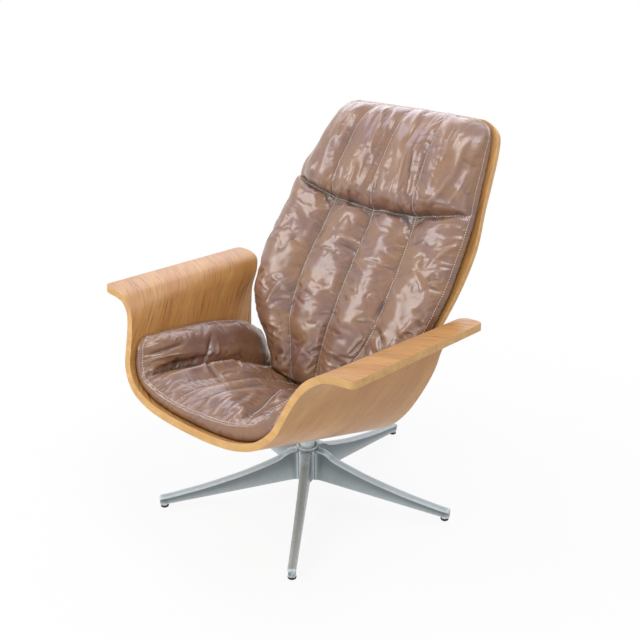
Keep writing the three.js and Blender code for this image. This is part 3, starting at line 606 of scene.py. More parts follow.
class WoodGrain(EffectGroup):
    """Long figure, streaks and pores that run along the first coordinate."""

    name = "wood_grain"
    inputs = (GroupSocket("Place", PLACE), GroupSocket("Pale", COLOUR), GroupSocket("Middle", COLOUR),
              GroupSocket("Dark", COLOUR), GroupSocket("Streaks", NUMBER, 0.6))
    outputs = (GroupSocket("Colour", COLOUR), GroupSocket("Roughness", NUMBER),
               GroupSocket("Height", NUMBER))
    wander_scale, wander_reach = (7.0, 9.0, 9.0), 0.045
    figure_scale, figure_range = (10.0, 190.0, 190.0), (0.53, 0.70)
    fine_scale, fine_range, fine_share = (20.0, 420.0, 420.0), (0.48, 0.75), 0.3
    bands_scale, bands_range = (3.0, 12.0, 12.0), (0.36, 0.64)
    pore_scale, pore_range, pore_share = (60.0, 1300.0, 1300.0), (0.6, 0.7), 0.35

    def wire(self, bench: NodeBench, given: object) -> dict:
        """Builds the grain from stretched noises.

        Args:
            bench: Adds and links the nodes.
            given: The group's inputs by name.

        Returns:
            The group's outputs by name.
        """
        place, dark = given["Place"], given["Dark"]
        wander = bench.noise(bench.stretched(place, self.wander_scale), 1.0, 2.0)
        lift = bench.add("ShaderNodeCombineXYZ", {"Y": bench.math("MULTIPLY", wander, self.wander_reach)})
        bent = bench.add("ShaderNodeVectorMath", {0: place, 1: lift.outputs[0]}, operation="ADD").outputs[0]
        figure = bench.noise(bench.stretched(bent, self.figure_scale), 1.0, 2.0)
        fine = bench.noise(bench.stretched(bent, self.fine_scale), 1.0, 3.0, 0.6)
        bands = bench.noise(bench.stretched(bent, self.bands_scale), 1.0, 3.0)
        pores = bench.noise(bench.stretched(bent, self.pore_scale), 1.0, 1.0)
        base = bench.mix(bench.spread(bands, *self.bands_range), given["Middle"], given["Pale"])
        streak = bench.math("MULTIPLY", bench.spread(figure, *self.figure_range), given["Streaks"])
        lines = bench.spread(fine, *self.fine_range, 0.0, self.fine_share)
        lined = bench.mix(lines, bench.mix(streak, base, dark), dark)
        pore = bench.spread(pores, *self.pore_range, 0.0, self.pore_share)
        height = bench.math("SUBTRACT", bench.math("MULTIPLY", fine, 0.5), pore)
        return {"Colour": bench.mix(pore, lined, dark), "Roughness": bench.spread(fine, 0.3, 0.7),
                "Height": height}


class HandledSurface(EffectGroup):
    """Slow patches and fine specks that keep any finish from being one flat value."""

    name = "handled_surface"
    inputs = (GroupSocket("Place", PLACE), GroupSocket("Colour", COLOUR),
              GroupSocket("Patch Scale", NUMBER, 9.0), GroupSocket("Speck Scale", NUMBER, 400.0),
              GroupSocket("Depth", NUMBER, 0.2))
    outputs = (GroupSocket("Colour", COLOUR), GroupSocket("Patches", NUMBER), GroupSocket("Specks", NUMBER))

    def wire(self, bench: NodeBench, given: object) -> dict:
        """Builds the patches and the specks.

        Args:
            bench: Adds and links the nodes.
            given: The group's inputs by name.

        Returns:
            The group's outputs by name.
        """
        patches = bench.spread(bench.noise(given["Place"], given["Patch Scale"], 4.0, 0.55), 0.3, 0.7)
        specks = bench.noise(given["Place"], given["Speck Scale"], 2.0, 0.5)
        shade = bench.math("MULTIPLY", bench.math("SUBTRACT", 1.0, patches), given["Depth"])
        return {"Colour": bench.mix(shade, given["Colour"], (0.0, 0.0, 0.0, 1.0)), "Patches": patches,
                "Specks": specks}


class EdgeWearAndSheen(EffectGroup):
    """Finds the sharp edges and the hollows of a dense mesh; finishes lighten the edges, as edge wear and as
    a painted highlight, and darken the hollows.
    """

    name = "edge_wear_and_sheen"
    inputs = (GroupSocket("Place", PLACE), GroupSocket("Reach", NUMBER, 0.04))
    outputs = (GroupSocket("Edges", NUMBER), GroupSocket("Hollows", NUMBER))

    def wire(self, bench: NodeBench, given: object) -> dict:
        """Builds the masks from how pointed the surface is, broken up by noise.

        Args:
            bench: Adds and links the nodes.
            given: The group's inputs by name.

        Returns:
            The group's outputs by name.
        """
        pointed = bench.add("ShaderNodeNewGeometry").outputs["Pointiness"]
        broken = bench.spread(bench.noise(given["Place"], 120.0, 3.0), 0.35, 0.65, 0.8, 1.0)
        edges = bench.math("DIVIDE", bench.math("SUBTRACT", pointed, 0.5), given["Reach"], clamp=True)
        hollows = bench.math("DIVIDE", bench.math("SUBTRACT", 0.5, pointed), given["Reach"], clamp=True)
        return {"Edges": bench.math("MULTIPLY", edges, broken), "Hollows": hollows}


# Finishes


def new_material(name: str) -> tuple:
    """Makes an empty node material with a Principled shader.

    Args:
        name: The material's name.

    Returns:
        The material, its bench, the shader node and the object coordinate.
    """
    material = bpy.data.materials.new(name)
    material.use_nodes = True
    material.node_tree.nodes.clear()
    bench = NodeBench(material.node_tree)
    shader = bench.add("ShaderNodeBsdfPrincipled")
    bench.add("ShaderNodeOutputMaterial", {"Surface": shader.outputs[0]})
    place = bench.add("ShaderNodeTexCoord").outputs["Object"]
    return material, bench, shader, place


def bump(bench: NodeBench, shader: bpy.types.Node, *layers: tuple) -> None:
    """Feeds a shader's normal with heights laid over each other.

    Args:
        bench: The material's nodes.
        shader: The Principled shader.
        layers: Height socket, strength and distance of each layer.
    """
    normal = None
    for height, strength, distance in layers:
        node = bench.add("ShaderNodeBump", {"Height": height, "Strength": strength, "Distance": distance})
        if normal is not None:
            bench.feed(node.inputs["Normal"], normal)
        normal = node.outputs[0]
    bench.feed(shader.inputs["Normal"], normal)


def handled(bench: NodeBench, place: object, colour: object, depth: float, patches: float = 9.0,
            specks: float = 400.0) -> object:
    """Breaks up a colour with slow patches and fine specks.

    Args:
        bench: The material's nodes.
        place: The object coordinate.
        colour: The plain colour.
        depth: How much the patches darken it.
        patches: Scale of the patches.
        specks: Scale of the specks.

    Returns:
        The effect's outputs by name.
    """
    return HandledSurface().place_in(bench, {"Place": place, "Colour": colour, "Patch Scale": patches,
                                             "Speck Scale": specks, "Depth": depth})


@dataclass(frozen=True)
class Wood:
    """What the wooden finishes share: three colours, a roughness range and how strong their grain stands."""

    name: str
    pale: tuple
    middle: tuple
    dark: tuple
    rough: tuple
    relief: tuple
    coat: tuple = (0.0, 0.03)

    def grain(self, bench: NodeBench, place: object, streaks: object) -> object:
        """Places the grain in this wood's colours."""
        return WoodGrain().place_in(bench, {"Place": place, "Pale": self.pale, "Middle": self.middle,
                                            "Dark": self.dark, "Streaks": streaks})

    def coated(self, bench: NodeBench, shader: bpy.types.Node, colour: object, rough: object) -> None:
        """Feeds the shader's colour, roughness and coat."""
        weight, coat_rough = self.coat
        bench.feed_all(shader, {"Base Color": colour, "Roughness": rough, "Coat Weight": weight,
                                "Coat Roughness": coat_rough})


@dataclass(frozen=True)
class Veneer(Wood):
    """Oiled face veneer, its grain along the sheet's profile."""

    name: str = "oiled_veneer"
    pale: tuple = (0.64, 0.33, 0.105, 1.0)
    middle: tuple = (0.53, 0.24, 0.066, 1.0)
    dark: tuple = (0.21, 0.080, 0.019, 1.0)
    rough: tuple = (0.34, 0.5)
    relief: tuple = (0.25, 0.0004)
    coat: tuple = (0.25, 0.22)
    inner_streaks: float = 0.85
    outer_streaks: float = 0.22
    arm_heights: tuple = (0.46, 0.60)
    arm_streak_share: float = 0.5
    patch_scale: float = 6.0
    patch_depth: float = 0.14

    def build(self) -> Material:
        """Makes the material."""
        material, bench, shader, place = new_material(self.name)
        along = bench.add("ShaderNodeUVMap", uv_map=GRAIN_MAP).outputs[0]
        side = bench.spread(bench.attribute(PLY_DEPTH), 0.3, 0.7, self.inner_streaks, self.outer_streaks)
        height = bench.add("ShaderNodeSeparateXYZ", {"Vector": place}).outputs["Z"]
        calm = bench.spread(height, *self.arm_heights, 1.0, self.arm_streak_share)
        grain = self.grain(bench, along, bench.math("MULTIPLY", side, calm))
        hands = handled(bench, place, grain["Colour"], self.patch_depth, self.patch_scale)
        self.coated(bench, shader, hands["Colour"], bench.spread(grain["Roughness"], 0, 1, *self.rough))
        bump(bench, shader, (grain["Height"], *self.relief))
        return material


@dataclass(frozen=True)
class PlyEdge(Wood):
    """The sheets' cut edges: thin golden layers with darker cross layers and glue lines."""

    name: str = "ply_edge"
    pale: tuple = (0.76, 0.45, 0.165, 1.0)
    middle: tuple = (0.66, 0.36, 0.115, 1.0)
    dark: tuple = (0.42, 0.19, 0.055, 1.0)
    rough: tuple = (0.42, 0.6)
    relief: tuple = (0.2, 0.0003)
    coat: tuple = (0.15, 0.3)
    layers: int = 11
    wobble: float = 0.03
    wobble_scale: float = 22.0
    glue_share: float = 0.3
    streaks: float = 0.3
    grain_scale: tuple = (6.0, 6.0, 6.0)
    patch_scale: float = 30.0
    patch_depth: float = 0.15

    def build(self) -> Material:
        """Makes the material."""
        material, bench, shader, place = new_material(self.name)
        grain = self.grain(bench, bench.stretched(place, self.grain_scale), self.streaks)
        wobble = bench.math("MULTIPLY", bench.noise(place, self.wobble_scale, 2.0), self.wobble)
        depth = bench.math("ADD", bench.attribute(PLY_DEPTH), wobble)
        wave = bench.math("SINE", bench.math("MULTIPLY", depth, self.layers * math.pi))
        glue = bench.spread(bench.math("ABSOLUTE", wave), 0.0, 0.3, self.glue_share, 0.0)
        tinted = bench.mix(glue, grain["Colour"], self.dark)
        hands = handled(bench, place, tinted, self.patch_depth, self.patch_scale)
        self.coated(bench, shader, hands["Colour"], bench.spread(hands["Specks"], 0.3, 0.7, *self.rough))
        bump(bench, shader, (glue, *self.relief))
        return material


@dataclass(frozen=True)
class Beech(Wood):
    """Plain sawn hardwood, its grain along Y."""

    name: str = "beech_wood"
    pale: tuple = (0.60, 0.40, 0.22, 1.0)
    middle: tuple = (0.52, 0.33, 0.17, 1.0)
    dark: tuple = (0.32, 0.17, 0.08, 1.0)
    rough: tuple = (0.5, 0.65)
    relief: tuple = (0.2, 0.0003)
    streaks: float = 0.25

    def build(self) -> Material:
        """Makes the material."""
        material, bench, shader, place = new_material(self.name)
        turned = bench.add("ShaderNodeMapping", {"Vector": place, "Rotation": (0.0, 0.0, math.pi / 2)})
        grain = self.grain(bench, turned.outputs[0], self.streaks)
        self.coated(bench, shader, grain["Colour"], bench.spread(grain["Roughness"], 0, 1, *self.rough))
        bump(bench, shader, (grain["Height"], *self.relief))
        return material


@dataclass(frozen=True)
class Leather:
    """Waxed pull-up leather, with painted shade in its folds, seam grooves and boxing, and lighter crests
    that are pull-up wear and a painted highlight.
    """

    name: str = "waxed_leather"
    cool: tuple = (0.222, 0.106, 0.073, 1.0)
    warm: tuple = (0.252, 0.121, 0.053, 1.0)
    # The lighter crest colour is pull-up wear and a painted highlight; the near-black colour below it is
    # painted shade.
    wear_and_highlight: tuple = (0.38, 0.24, 0.18, 1.0)
    painted_shade: tuple = (0.045, 0.022, 0.013, 1.0)
    crest_range: tuple = (0.56, 0.85)
    crest_share: float = 0.55
    hollow_shade_range: tuple = (0.46, 0.1)
    seam_share: float = 0.42
    rough: tuple = (0.38, 0.52)
    coat_weight: float = 0.9
    coat_rough: float = 0.19
    patch_scale: float = 11.0
    speck_scale: float = 700.0
    patch_depth: float = 0.12
    crease_scale: float = 60.0
    crease_relief: tuple = (0.14, 0.0014)
    pore_scale: float = 620.0
    pore_relief: tuple = (0.10, 0.0003)

    def build(self) -> Material:
        """Makes the material."""
        material, bench, shader, place = new_material(self.name)
        fold, seam = bench.attribute(FOLD_SHADING), bench.attribute(SEAM_SHADE)
        hands = handled(bench, place, self.cool, self.patch_depth, self.patch_scale, self.speck_scale)
        clouds = bench.spread(bench.noise(place, self.patch_scale, 3.0, 0.6, 0.6), 0.40, 0.60)
        body = bench.mix(clouds, hands["Colour"], self.warm)
        # Crests lighten: pull-up wear and a painted highlight.
        worn_and_highlit = bench.mix(bench.spread(fold, *self.crest_range, 0.0, self.crest_share), body, self.wear_and_highlight)
        # Painted shade in hollows, seam grooves, along the border and down the boxing.
        painted_shade_share = bench.math("MAXIMUM", bench.spread(fold, *self.hollow_shade_range),
                          bench.spread(seam, 0.3, 1.0, 0.0, self.seam_share))
        creases = bench.noise(place, self.crease_scale, 5.0, 0.62, 1.6)
        bench.feed_all(shader, {"Base Color": bench.mix(painted_shade_share, worn_and_highlit, self.painted_shade),
                                "Roughness": bench.spread(creases, 0.35, 0.68, *self.rough),
                                "Coat Weight": self.coat_weight, "Coat Roughness": self.coat_rough})
        cells = bench.add("ShaderNodeTexVoronoi", {"Vector": place, "Scale": self.pore_scale},
                          feature="DISTANCE_TO_EDGE")
        pores = bench.spread(cells.outputs["Distance"], 0.0, 0.25)
        bump(bench, shader, (creases, *self.crease_relief), (pores, *self.pore_relief))
        return material


@dataclass(frozen=True)
class Metal:
    """Cast, rolled or plated metal."""

    name: str
    colour: tuple
    rough: tuple
    metallic: float = 1.0
    patch_scale: float = 14.0
    speck_scale: float = 900.0
    patch_depth: float = 0.18
    texture: float = 0.1
    texture_depth: float = 0.0004
    # The edge colour lightens sharp edges: edge wear, and at a high share a painted highlight on edges and
    # tops.
    edge_wear_and_sheen_colour: tuple = (0.8, 0.8, 0.8, 1.0)
    edge_wear_and_sheen_share: float = 0.3
    hollow_colour: tuple = (0.02, 0.02, 0.02, 1.0)
    hollow_share: float = 0.5

    def build(self) -> Material:
        """Makes the material."""
        material, bench, shader, place = new_material(self.name)
        hands = handled(bench, place, self.colour, self.patch_depth, self.patch_scale, self.speck_scale)
        wear_and_sheen = EdgeWearAndSheen().place_in(bench, {"Place": place})
        edges = bench.math("MULTIPLY", wear_and_sheen["Edges"], self.edge_wear_and_sheen_share)
        # Painted highlight and edge wear: sharp edges turn towards the edge colour.
        worn_and_lit_edges = bench.mix(edges, hands["Colour"], self.edge_wear_and_sheen_colour)
        # Darker in the hollows, towards the hollow colour.
        hollows = bench.math("MULTIPLY", wear_and_sheen["Hollows"], self.hollow_share)
        bench.feed_all(shader, {"Base Color": bench.mix(hollows, worn_and_lit_edges, self.hollow_colour),
                                "Roughness": bench.spread(hands["Patches"], 0, 1, *self.rough),
                                "Metallic": self.metallic})
        bump(bench, shader, (hands["Specks"], self.texture, self.texture_depth))
        return material


@dataclass(frozen=True)
class Moulded:
    """Moulded plastic, rubber or nylon, and twisted thread."""

    name: str
    colour: tuple
    rough: tuple
    patch_scale: float = 40.0
    speck_scale: float = 1600.0
    patch_depth: float = 0.25
    texture: float = 0.15
    texture_depth: float = 0.0003
    rough_from: str = "Patches"
    rough_range: tuple = (0, 1)

    def build(self) -> Material:
        """Makes the material."""
        material, bench, shader, place = new_material(self.name)
        hands = handled(bench, place, self.colour, self.patch_depth, self.patch_scale, self.speck_scale)
        rough = bench.spread(hands[self.rough_from], *self.rough_range, *self.rough)
        bench.feed_all(shader, {"Base Color": hands["Colour"], "Roughness": rough})
        bump(bench, shader, (hands["Specks"], self.texture, self.texture_depth))
        return material


class Finishes:
    """Every finish of the chair, built once."""

    def __init__(self) -> None:
        """Builds the materials."""
        self.veneer = Veneer().build()
        self.ply_edge = PlyEdge().build()
        self.leather = Leather().build()
        self.thread = Moulded("cream_thread", (0.88, 0.82, 0.75, 1.0), (0.45, 0.7), patch_scale=60.0,
                              speck_scale=2500.0, patch_depth=0.35, texture=0.4, texture_depth=0.0002,
                              rough_from="Specks", rough_range=(0.3, 0.7)).build()
        plans = {
            # On the casting the pale, cool edge colour at a high share paints its tops and edges lighter:
            # edge wear with a painted highlight and a cool painted reflection.
            Slot.CAST_ALUMINIUM: Metal("cast_aluminium", (0.26, 0.31, 0.32, 1.0), (0.32, 0.42), 0.15,
                                       edge_wear_and_sheen_colour=(0.74, 0.82, 0.86, 1.0), edge_wear_and_sheen_share=0.9),
            Slot.STEEL: Metal("zinc_plated_steel", (0.42, 0.43, 0.44, 1.0), (0.28, 0.45)),
            Slot.BLACK_STEEL: Metal("black_painted_steel", (0.018, 0.018, 0.019, 1.0), (0.38, 0.55), 0.0,
                                    texture=0.25, edge_wear_and_sheen_colour=(0.12, 0.12, 0.12, 1.0)),
            Slot.SPRING_STEEL: Metal("oiled_spring_steel", (0.30, 0.31, 0.32, 1.0), (0.22, 0.38)),
            Slot.BLACK_PLASTIC: Moulded("black_moulded_plastic", (0.012, 0.012, 0.012, 1.0), (0.42, 0.6)),
            Slot.RUBBER: Moulded("black_rubber", (0.016, 0.016, 0.016, 1.0), (0.65, 0.85)),
            Slot.NYLON: Moulded("white_nylon", (0.72, 0.69, 0.60, 1.0), (0.38, 0.52)),
            Slot.BEECH: Beech(),
        }
        self.by_slot = {slot: plan.build() for slot, plan in plans.items()}

    def dress(self, piece: Piece, *materials: Material) -> None:
        """Puts materials on a piece made here.

        Args:
            piece: The piece.
            materials: Its materials, in the order of its faces' indices.
        """
        for material in materials:
            piece.data.materials.append(material)

    def dress_nodes(self, nodes: dict) -> None:
        """Puts the right finish on every CAD node that is carried over.

        Args:
            nodes: CAD objects by node name.
        """
        for name, node in nodes.items():
            if node.hide_render:
                continue
            for place in node.material_slots:
                place.link = "OBJECT"
                place.material = self.by_slot[self.slot_of(name)]
            log.info("%s keeps its CAD form", name)

    @staticmethod
    def slot_of(name: str) -> Slot:
        """The slot of a carried-over node, from its name.

        Args:
            name: The CAD node's name.

        Returns:
            Its material slot.
        """
        kinds = {"bolt": Slot.STEEL, "nut": Slot.STEEL, "spindle": Slot.STEEL, "glide": Slot.BLACK_PLASTIC,
                 "clip": Slot.SPRING_STEEL, "bush": Slot.NYLON, "thrust": Slot.NYLON, "bumper": Slot.RUBBER,
                 "mount": Slot.RUBBER, "cleat": Slot.BEECH, "bracket": Slot.BLACK_STEEL,
                 "yoke": Slot.CAST_ALUMINIUM, "tilt_plate": Slot.BLACK_STEEL, "casting": Slot.CAST_ALUMINIUM}
        return next(slot for part, slot in kinds.items() if part in name)


# The plywood sheets


@dataclass(frozen=True)
class SeatSheet:
    """The seat shell's sheet: one ply bent into a U with arms that flare outwards."""

    thickness: float = 17
    front_half_width: float = 388
    front_arm_height: float = 545
    front_pan_height: float = 343.5
    front_setback: float = -292
    front_lean: float = 0.449
    rear_half_width: float = 391
    rear_arm_height: float = 525
    rear_pan_height: float = 222.6
    rear_setback: float = 157
    rear_lean: float = 0.437
    rear_hollow: float = 11
    corner_radius: float = 12
    normal_step: float = 0.002
    front_shares: tuple = ((0, 0), (0.21, 0.012), (0.38, 0.057), (0.503, 0.146), (0.582, 0.295),
                           (0.61, 0.442), (0.634, 0.585), (0.675, 0.762), (0.725, 0.871), (0.8, 0.953),
                           (0.868, 0.98), (1, 1))
    rear_shares: tuple = ((0, 0), (0.25, 0.014), (0.43, 0.055), (0.562, 0.14), (0.642, 0.26), (0.715, 0.474),
                          (0.749, 0.627), (0.763, 0.75), (0.779, 0.87), (0.813, 0.955), (0.885, 0.993),
                          (1, 1))
    hollow_shares: tuple = (0, 0, 0, 0, 0, 0.1, 0.5, 1, 0.3, 0, 0, 0)

    def __post_init__(self) -> None:
        """Makes both edge lines, whose Y holds how far the edge is hollowed."""
        flat = (0,) * len(self.front_shares)
        plans = (("front_line", self.front_shares, flat, self.front_half_width, self.front_pan_height,
                  self.front_arm_height),
                 ("rear_line", self.rear_shares, self.hollow_shares, self.rear_half_width,
                  self.rear_pan_height, self.rear_arm_height))
        for name, shares, hollows, half_width, low, high in plans:
            half = [(across * half_width, hollow * self.rear_hollow, low + (high - low) * rise)
                    for (across, rise), hollow in zip(shares, hollows)]
            other = [(-x, y, z) for x, y, z in half[:0:-1]]
            object.__setattr__(self, name, SplineLine(other + half))

    def front(self, u: Array) -> Array:
        """Points of the front edge, u from -1 to 1."""
        point = self.front_line.at((np.asarray(u, float) + 1) / 2)
        y = self.front_setback - self.front_lean * (self.front_arm_height - point[..., 2])
        return np.stack([point[..., 0], y, point[..., 2]], -1)

    def rear(self, u: Array) -> Array:
        """Points of the rear edge, u from -1 to 1."""
        point = self.rear_line.at((np.asarray(u, float) + 1) / 2)
        y = self.rear_setback - self.rear_lean * (self.rear_arm_height - point[..., 2]) - point[..., 1]
        return np.stack([point[..., 0], y, point[..., 2]], -1)

    def surface(self, u: Array, v: Array, outwards: Numbers) -> Array:
        """Points off the sitter's side of the sheet.

        Args:
            u: From one arm's edge at -1 to the other at 1.
            v: From the front edge at 0 to the rear edge at 1.
            outwards: Distance away from the sitter, in millimetres.

        Returns:
            The points.
        """
        u, v = np.broadcast_arrays(np.asarray(u, float), np.asarray(v, float))
        share = v[..., None]

        def place(across: Array) -> Array:
            """Points on the sheet itself."""
            return blend_between(self.front(across), self.rear(across), share)

        step = self.normal_step
        along = place(np.minimum(u + step, 1)) - place(np.maximum(u - step, -1))
        normal = unit(np.cross(along, self.rear(u) - self.front(u)))
        return place(u) - normal * np.asarray(outwards, float)[..., None]

    def arm_end(self, v: Array) -> Array:
        """How far the rounded arm corners draw in."""
        length = self.rear_setback - self.front_setback
        left = np.clip(self.corner_radius - np.minimum(v, 1 - v) * length, 0, self.corner_radius)
        return self.corner_radius - np.sqrt(self.corner_radius**2 - left**2)


@dataclass(frozen=True)
class BackSheet:
    """The back shell's sheet: a dished panel on one bent middle line."""

    thickness: float = 15
    half_width: float = 300
    foot: tuple = (34, 236)
    depth: float = 394
    rise: float = 674
    dish: float = 10
    top_arc: float = 9
    bottom_arc: float = 16
    line_shares: tuple = ((0, 0), (0.071, 0.122), (0.157, 0.248), (0.279, 0.374), (0.421, 0.493),
                          (0.566, 0.608), (0.706, 0.734), (0.855, 0.869), (1, 1))
    width_shares: tuple = ((0, 0.367), (0.012, 0.439), (0.035, 0.5), (0.066, 0.566), (0.129, 0.673),
                           (0.18, 0.78), (0.241, 0.872), (0.307, 0.936), (0.378, 0.973), (0.44, 0.992),
                           (0.497, 1), (0.567, 0.997), (0.623, 0.983), (0.725, 0.933), (0.794, 0.907),
                           (0.878, 0.873), (0.916, 0.853), (0.957, 0.82), (0.982, 0.76), (0.995, 0.69),
                           (1, 0.64))

    def __post_init__(self) -> None:
        """Makes the middle line."""
        line = SplineLine([(0, self.foot[0] + depth * self.depth, self.foot[1] + rise * self.rise)
                           for depth, rise in self.line_shares])
        object.__setattr__(self, "line", line)

    @property
    def length(self) -> float:
        """The middle line's length."""
        return self.line.length

    def surface(self, x: Array, along: Array, forwards: Numbers) -> Array:
        """Points off the sitter's side of the sheet.

        Args:
            x: Distance from the middle, in millimetres.
            along: Distance up the middle line, in millimetres.
            forwards: Distance towards the sitter, in millimetres.

        Returns:
            The points.
        """
        x, along = np.broadcast_arrays(np.asarray(x, float), np.asarray(along, float))
        share = np.clip(along / self.length, 0, 1)
        heading = self.line.heading(share)
        normal = np.stack([np.zeros_like(x), -heading[..., 2], heading[..., 1]], -1)
        lift = self.dish * (x / self.half_width) ** 2 + forwards
        point = self.line.along(share) + normal * lift[..., None]
        point[..., 0] = x
        return point


@dataclass
class PlySheet:
    """Turns a grid over a sheet into a plywood piece with softly rounded edges."""

    name: str
    edge_round: float = 3.2
    edge_steps: int = 4

    def build(self, inner: Array, outer: Array, grain: Array) -> Piece:
        """Makes the mesh.

        Args:
            inner: Grid of points on the sitter's side, in millimetres.
            outer: The same grid on the other side.
            grain: Two coordinates in metres for each grid point, the first along the grain.

        Returns:
            The piece, its faces on material 0 and its cut edges on material 1.
        """
        rows, columns = inner.shape[:2]
        count = rows * columns
        border = border_loop(rows, columns)
        faces = grid_faces(rows, columns) + grid_faces(rows, columns, count)
        after = np.roll(border, -1)
        edge_faces = np.stack([border, after, after + count, border + count], -1).tolist()
        points = in_frame(np.concatenate([inner.reshape(-1, 3), outer.reshape(-1, 3)]))
        piece = new_piece(self.name, points, faces + edge_faces)
        give_values(piece, PLY_DEPTH, np.repeat([0.0, 1.0], count))
        self._lay_grain(piece, np.concatenate([grain.reshape(-1, 2)] * 2))
        marks = np.zeros(len(piece.data.polygons), np.int32)
        marks[len(faces):] = 1
        piece.data.polygons.foreach_set("material_index", marks)
        self._round_edges(piece, len(faces))
        return piece

    def _lay_grain(self, piece: Piece, grain: Array) -> None:
        """Writes the grain coordinates to the piece's map.

        Args:
            piece: The mesh piece.
            grain: A pair of coordinates for each vertex.
        """
        layer = piece.data.uv_layers.new(name=GRAIN_MAP)
        corners = np.empty(len(piece.data.loops), np.int32)
        piece.data.loops.foreach_get("vertex_index", corners)
        layer.data.foreach_set("uv", grain[corners].astype(np.float32).ravel())

    def _round_edges(self, piece: Piece, first_edge_face: int) -> None:
        """Rounds the two lines where the faces meet the cut edge.

        Args:
            piece: The sheet.
            first_edge_face: Index of the first face of the cut edge.
        """
        work = bmesh.new()
        work.from_mesh(piece.data)
        work.faces.ensure_lookup_table()
        marks = {face.index for face in work.faces if face.index >= first_edge_face}
        rims = [edge for edge in work.edges
                if len({face.index in marks for face in edge.link_faces}) == 2]
        bmesh.ops.bevel(work, geom=rims, offset=self.edge_round * MILLIMETRE, segments=self.edge_steps,
                        profile=0.5, affect="EDGES", clamp_overlap=True, material=1)
        work.to_mesh(piece.data)
        work.free()
        piece.data.polygons.foreach_set("use_smooth", [True] * len(piece.data.polygons))


@dataclass
class Shells:
    """The two plywood shells."""

    seat: SeatSheet
    back: BackSheet
    seat_columns: int = 168
    seat_rows: int = 26
    back_columns: int = 44
    back_rows: int = 110
    grain_lean: float = 0.38
    seat_grain_depth: float = 500
    back_grain_start: float = 900
    close_rows: tuple = (0, 0.0035, 0.009, 0.018)
    close_columns: tuple = (0.994, 0.9975)
    corner_power: int = 8
    corner_rows: tuple = (0, 0.002, 0.006)
    row_gap: float = 1e-3

    def build(self, finishes: Finishes) -> None:
        """Makes and dresses both shells.

        Args:
            finishes: The chair's finishes.
        """
        for piece, node in ((self._seat_shell(), "seat_shell"), (self._back_shell(), "back_shell")):
            finishes.dress(piece, finishes.veneer, finishes.ply_edge)
            settle(piece, Body.SEAT, Slot.PLYWOOD, node)

    def _seat_shell(self) -> Piece:
        """The seat shell with its arms."""
        inner_rows = np.linspace(0, 1, self.seat_rows + 1)[1:-1]
        close = np.array(self.close_rows)
        v = np.concatenate([close, inner_rows, 1 - close[::-1]])
        even, beside = np.linspace(-1, 1, self.seat_columns + 1), np.array(self.close_columns)
        across = np.concatenate([even[:1], -beside[::-1], even[1:-1], beside, even[-1:]])
        drawn = self.seat.arm_end(v)[:, None] / self.seat.front_half_width
        u = across * (1 - drawn * across**self.corner_power)
        spread = np.broadcast_to(v[:, None], u.shape)
        inner = self.seat.surface(u, spread, 0)
        outer = self.seat.surface(u, spread, self.seat.thickness)
        run = travelled(inner[len(v) // 2])
        lean = self.grain_lean * np.abs(run - run.mean())
        grain = np.stack([np.broadcast_to(run, u.shape), spread * self.seat_grain_depth - lean], -1)
        return PlySheet("seat_plywood").build(inner, outer, grain * MILLIMETRE)

    def _back_shell(self) -> Piece:
        """The back shell."""
        sheet = self.back
        inner_rows = np.linspace(0, 1, self.back_rows + 1)[1:-1]
        corner = np.array(self.corner_rows)
        place = np.sort(np.concatenate([corner, inner_rows, 1 - corner]))
        place = place[np.concatenate([[True], np.diff(place) > self.row_gap])]
        across = np.linspace(-1, 1, self.back_columns + 1)
        reach = across[None, :] * read_smooth(sheet.width_shares, place)[:, None]
        high = sheet.length - sheet.top_arc * reach**2
        along = blend_between(sheet.bottom_arc * reach**2, high, place[:, None])
        x = reach * sheet.half_width
        inner, outer = sheet.surface(x, along, 0), sheet.surface(x, along, -sheet.thickness)
        grain = np.stack([along, x + self.back_grain_start], -1)
        return PlySheet("back_plywood").build(inner, outer, grain * MILLIMETRE)


# The cushions


@dataclass(frozen=True)
class Fold:
    """A listed fold of the leather: a line over the cushion's own coordinates that rises or sinks."""

    path: tuple
    height: float
    width: float


@dataclass(frozen=True)
class Seam:
    """A sewn line up a cushion: its place across at the far end, its depth, and its bend near the front."""

    place: float
    depth: float
    bend: float = 0.0


@dataclass(frozen=True)
class Ripple:
    """A layer of wrinkles: its height, its cell's size, its pattern, and its width if it is thin creases."""

    height: float
    wide: float
    tall: float
    pattern: int = 0
    crease: float = 0.0

    def over(self, x: Array, y: Array, seed: int) -> Array:
        """Reads the layer.

        Args:
            x: First coordinate in millimetres.
            y: Second coordinate in millimetres.
            seed: The cushion's own pattern.

        Returns:
            Heights in millimetres.
        """
        place = (x / self.wide, y / self.tall, seed + self.pattern)
        shape = crease_lines(*place, self.crease) if self.crease else rumple(*place)
        return self.height * shape


@dataclass(frozen=True)
class Inflation:
    """How the cloth simulation swells a cushion between its seams."""

    frames: int = 20
    pressure: float = 3.0
    slack: float = 0.006
    stiffness: float = 12.0
    bending: float = 1.5
    quality: int = 5
    most: float = 6.0
    mass: float = 0.3
    shear_share: float = 0.4


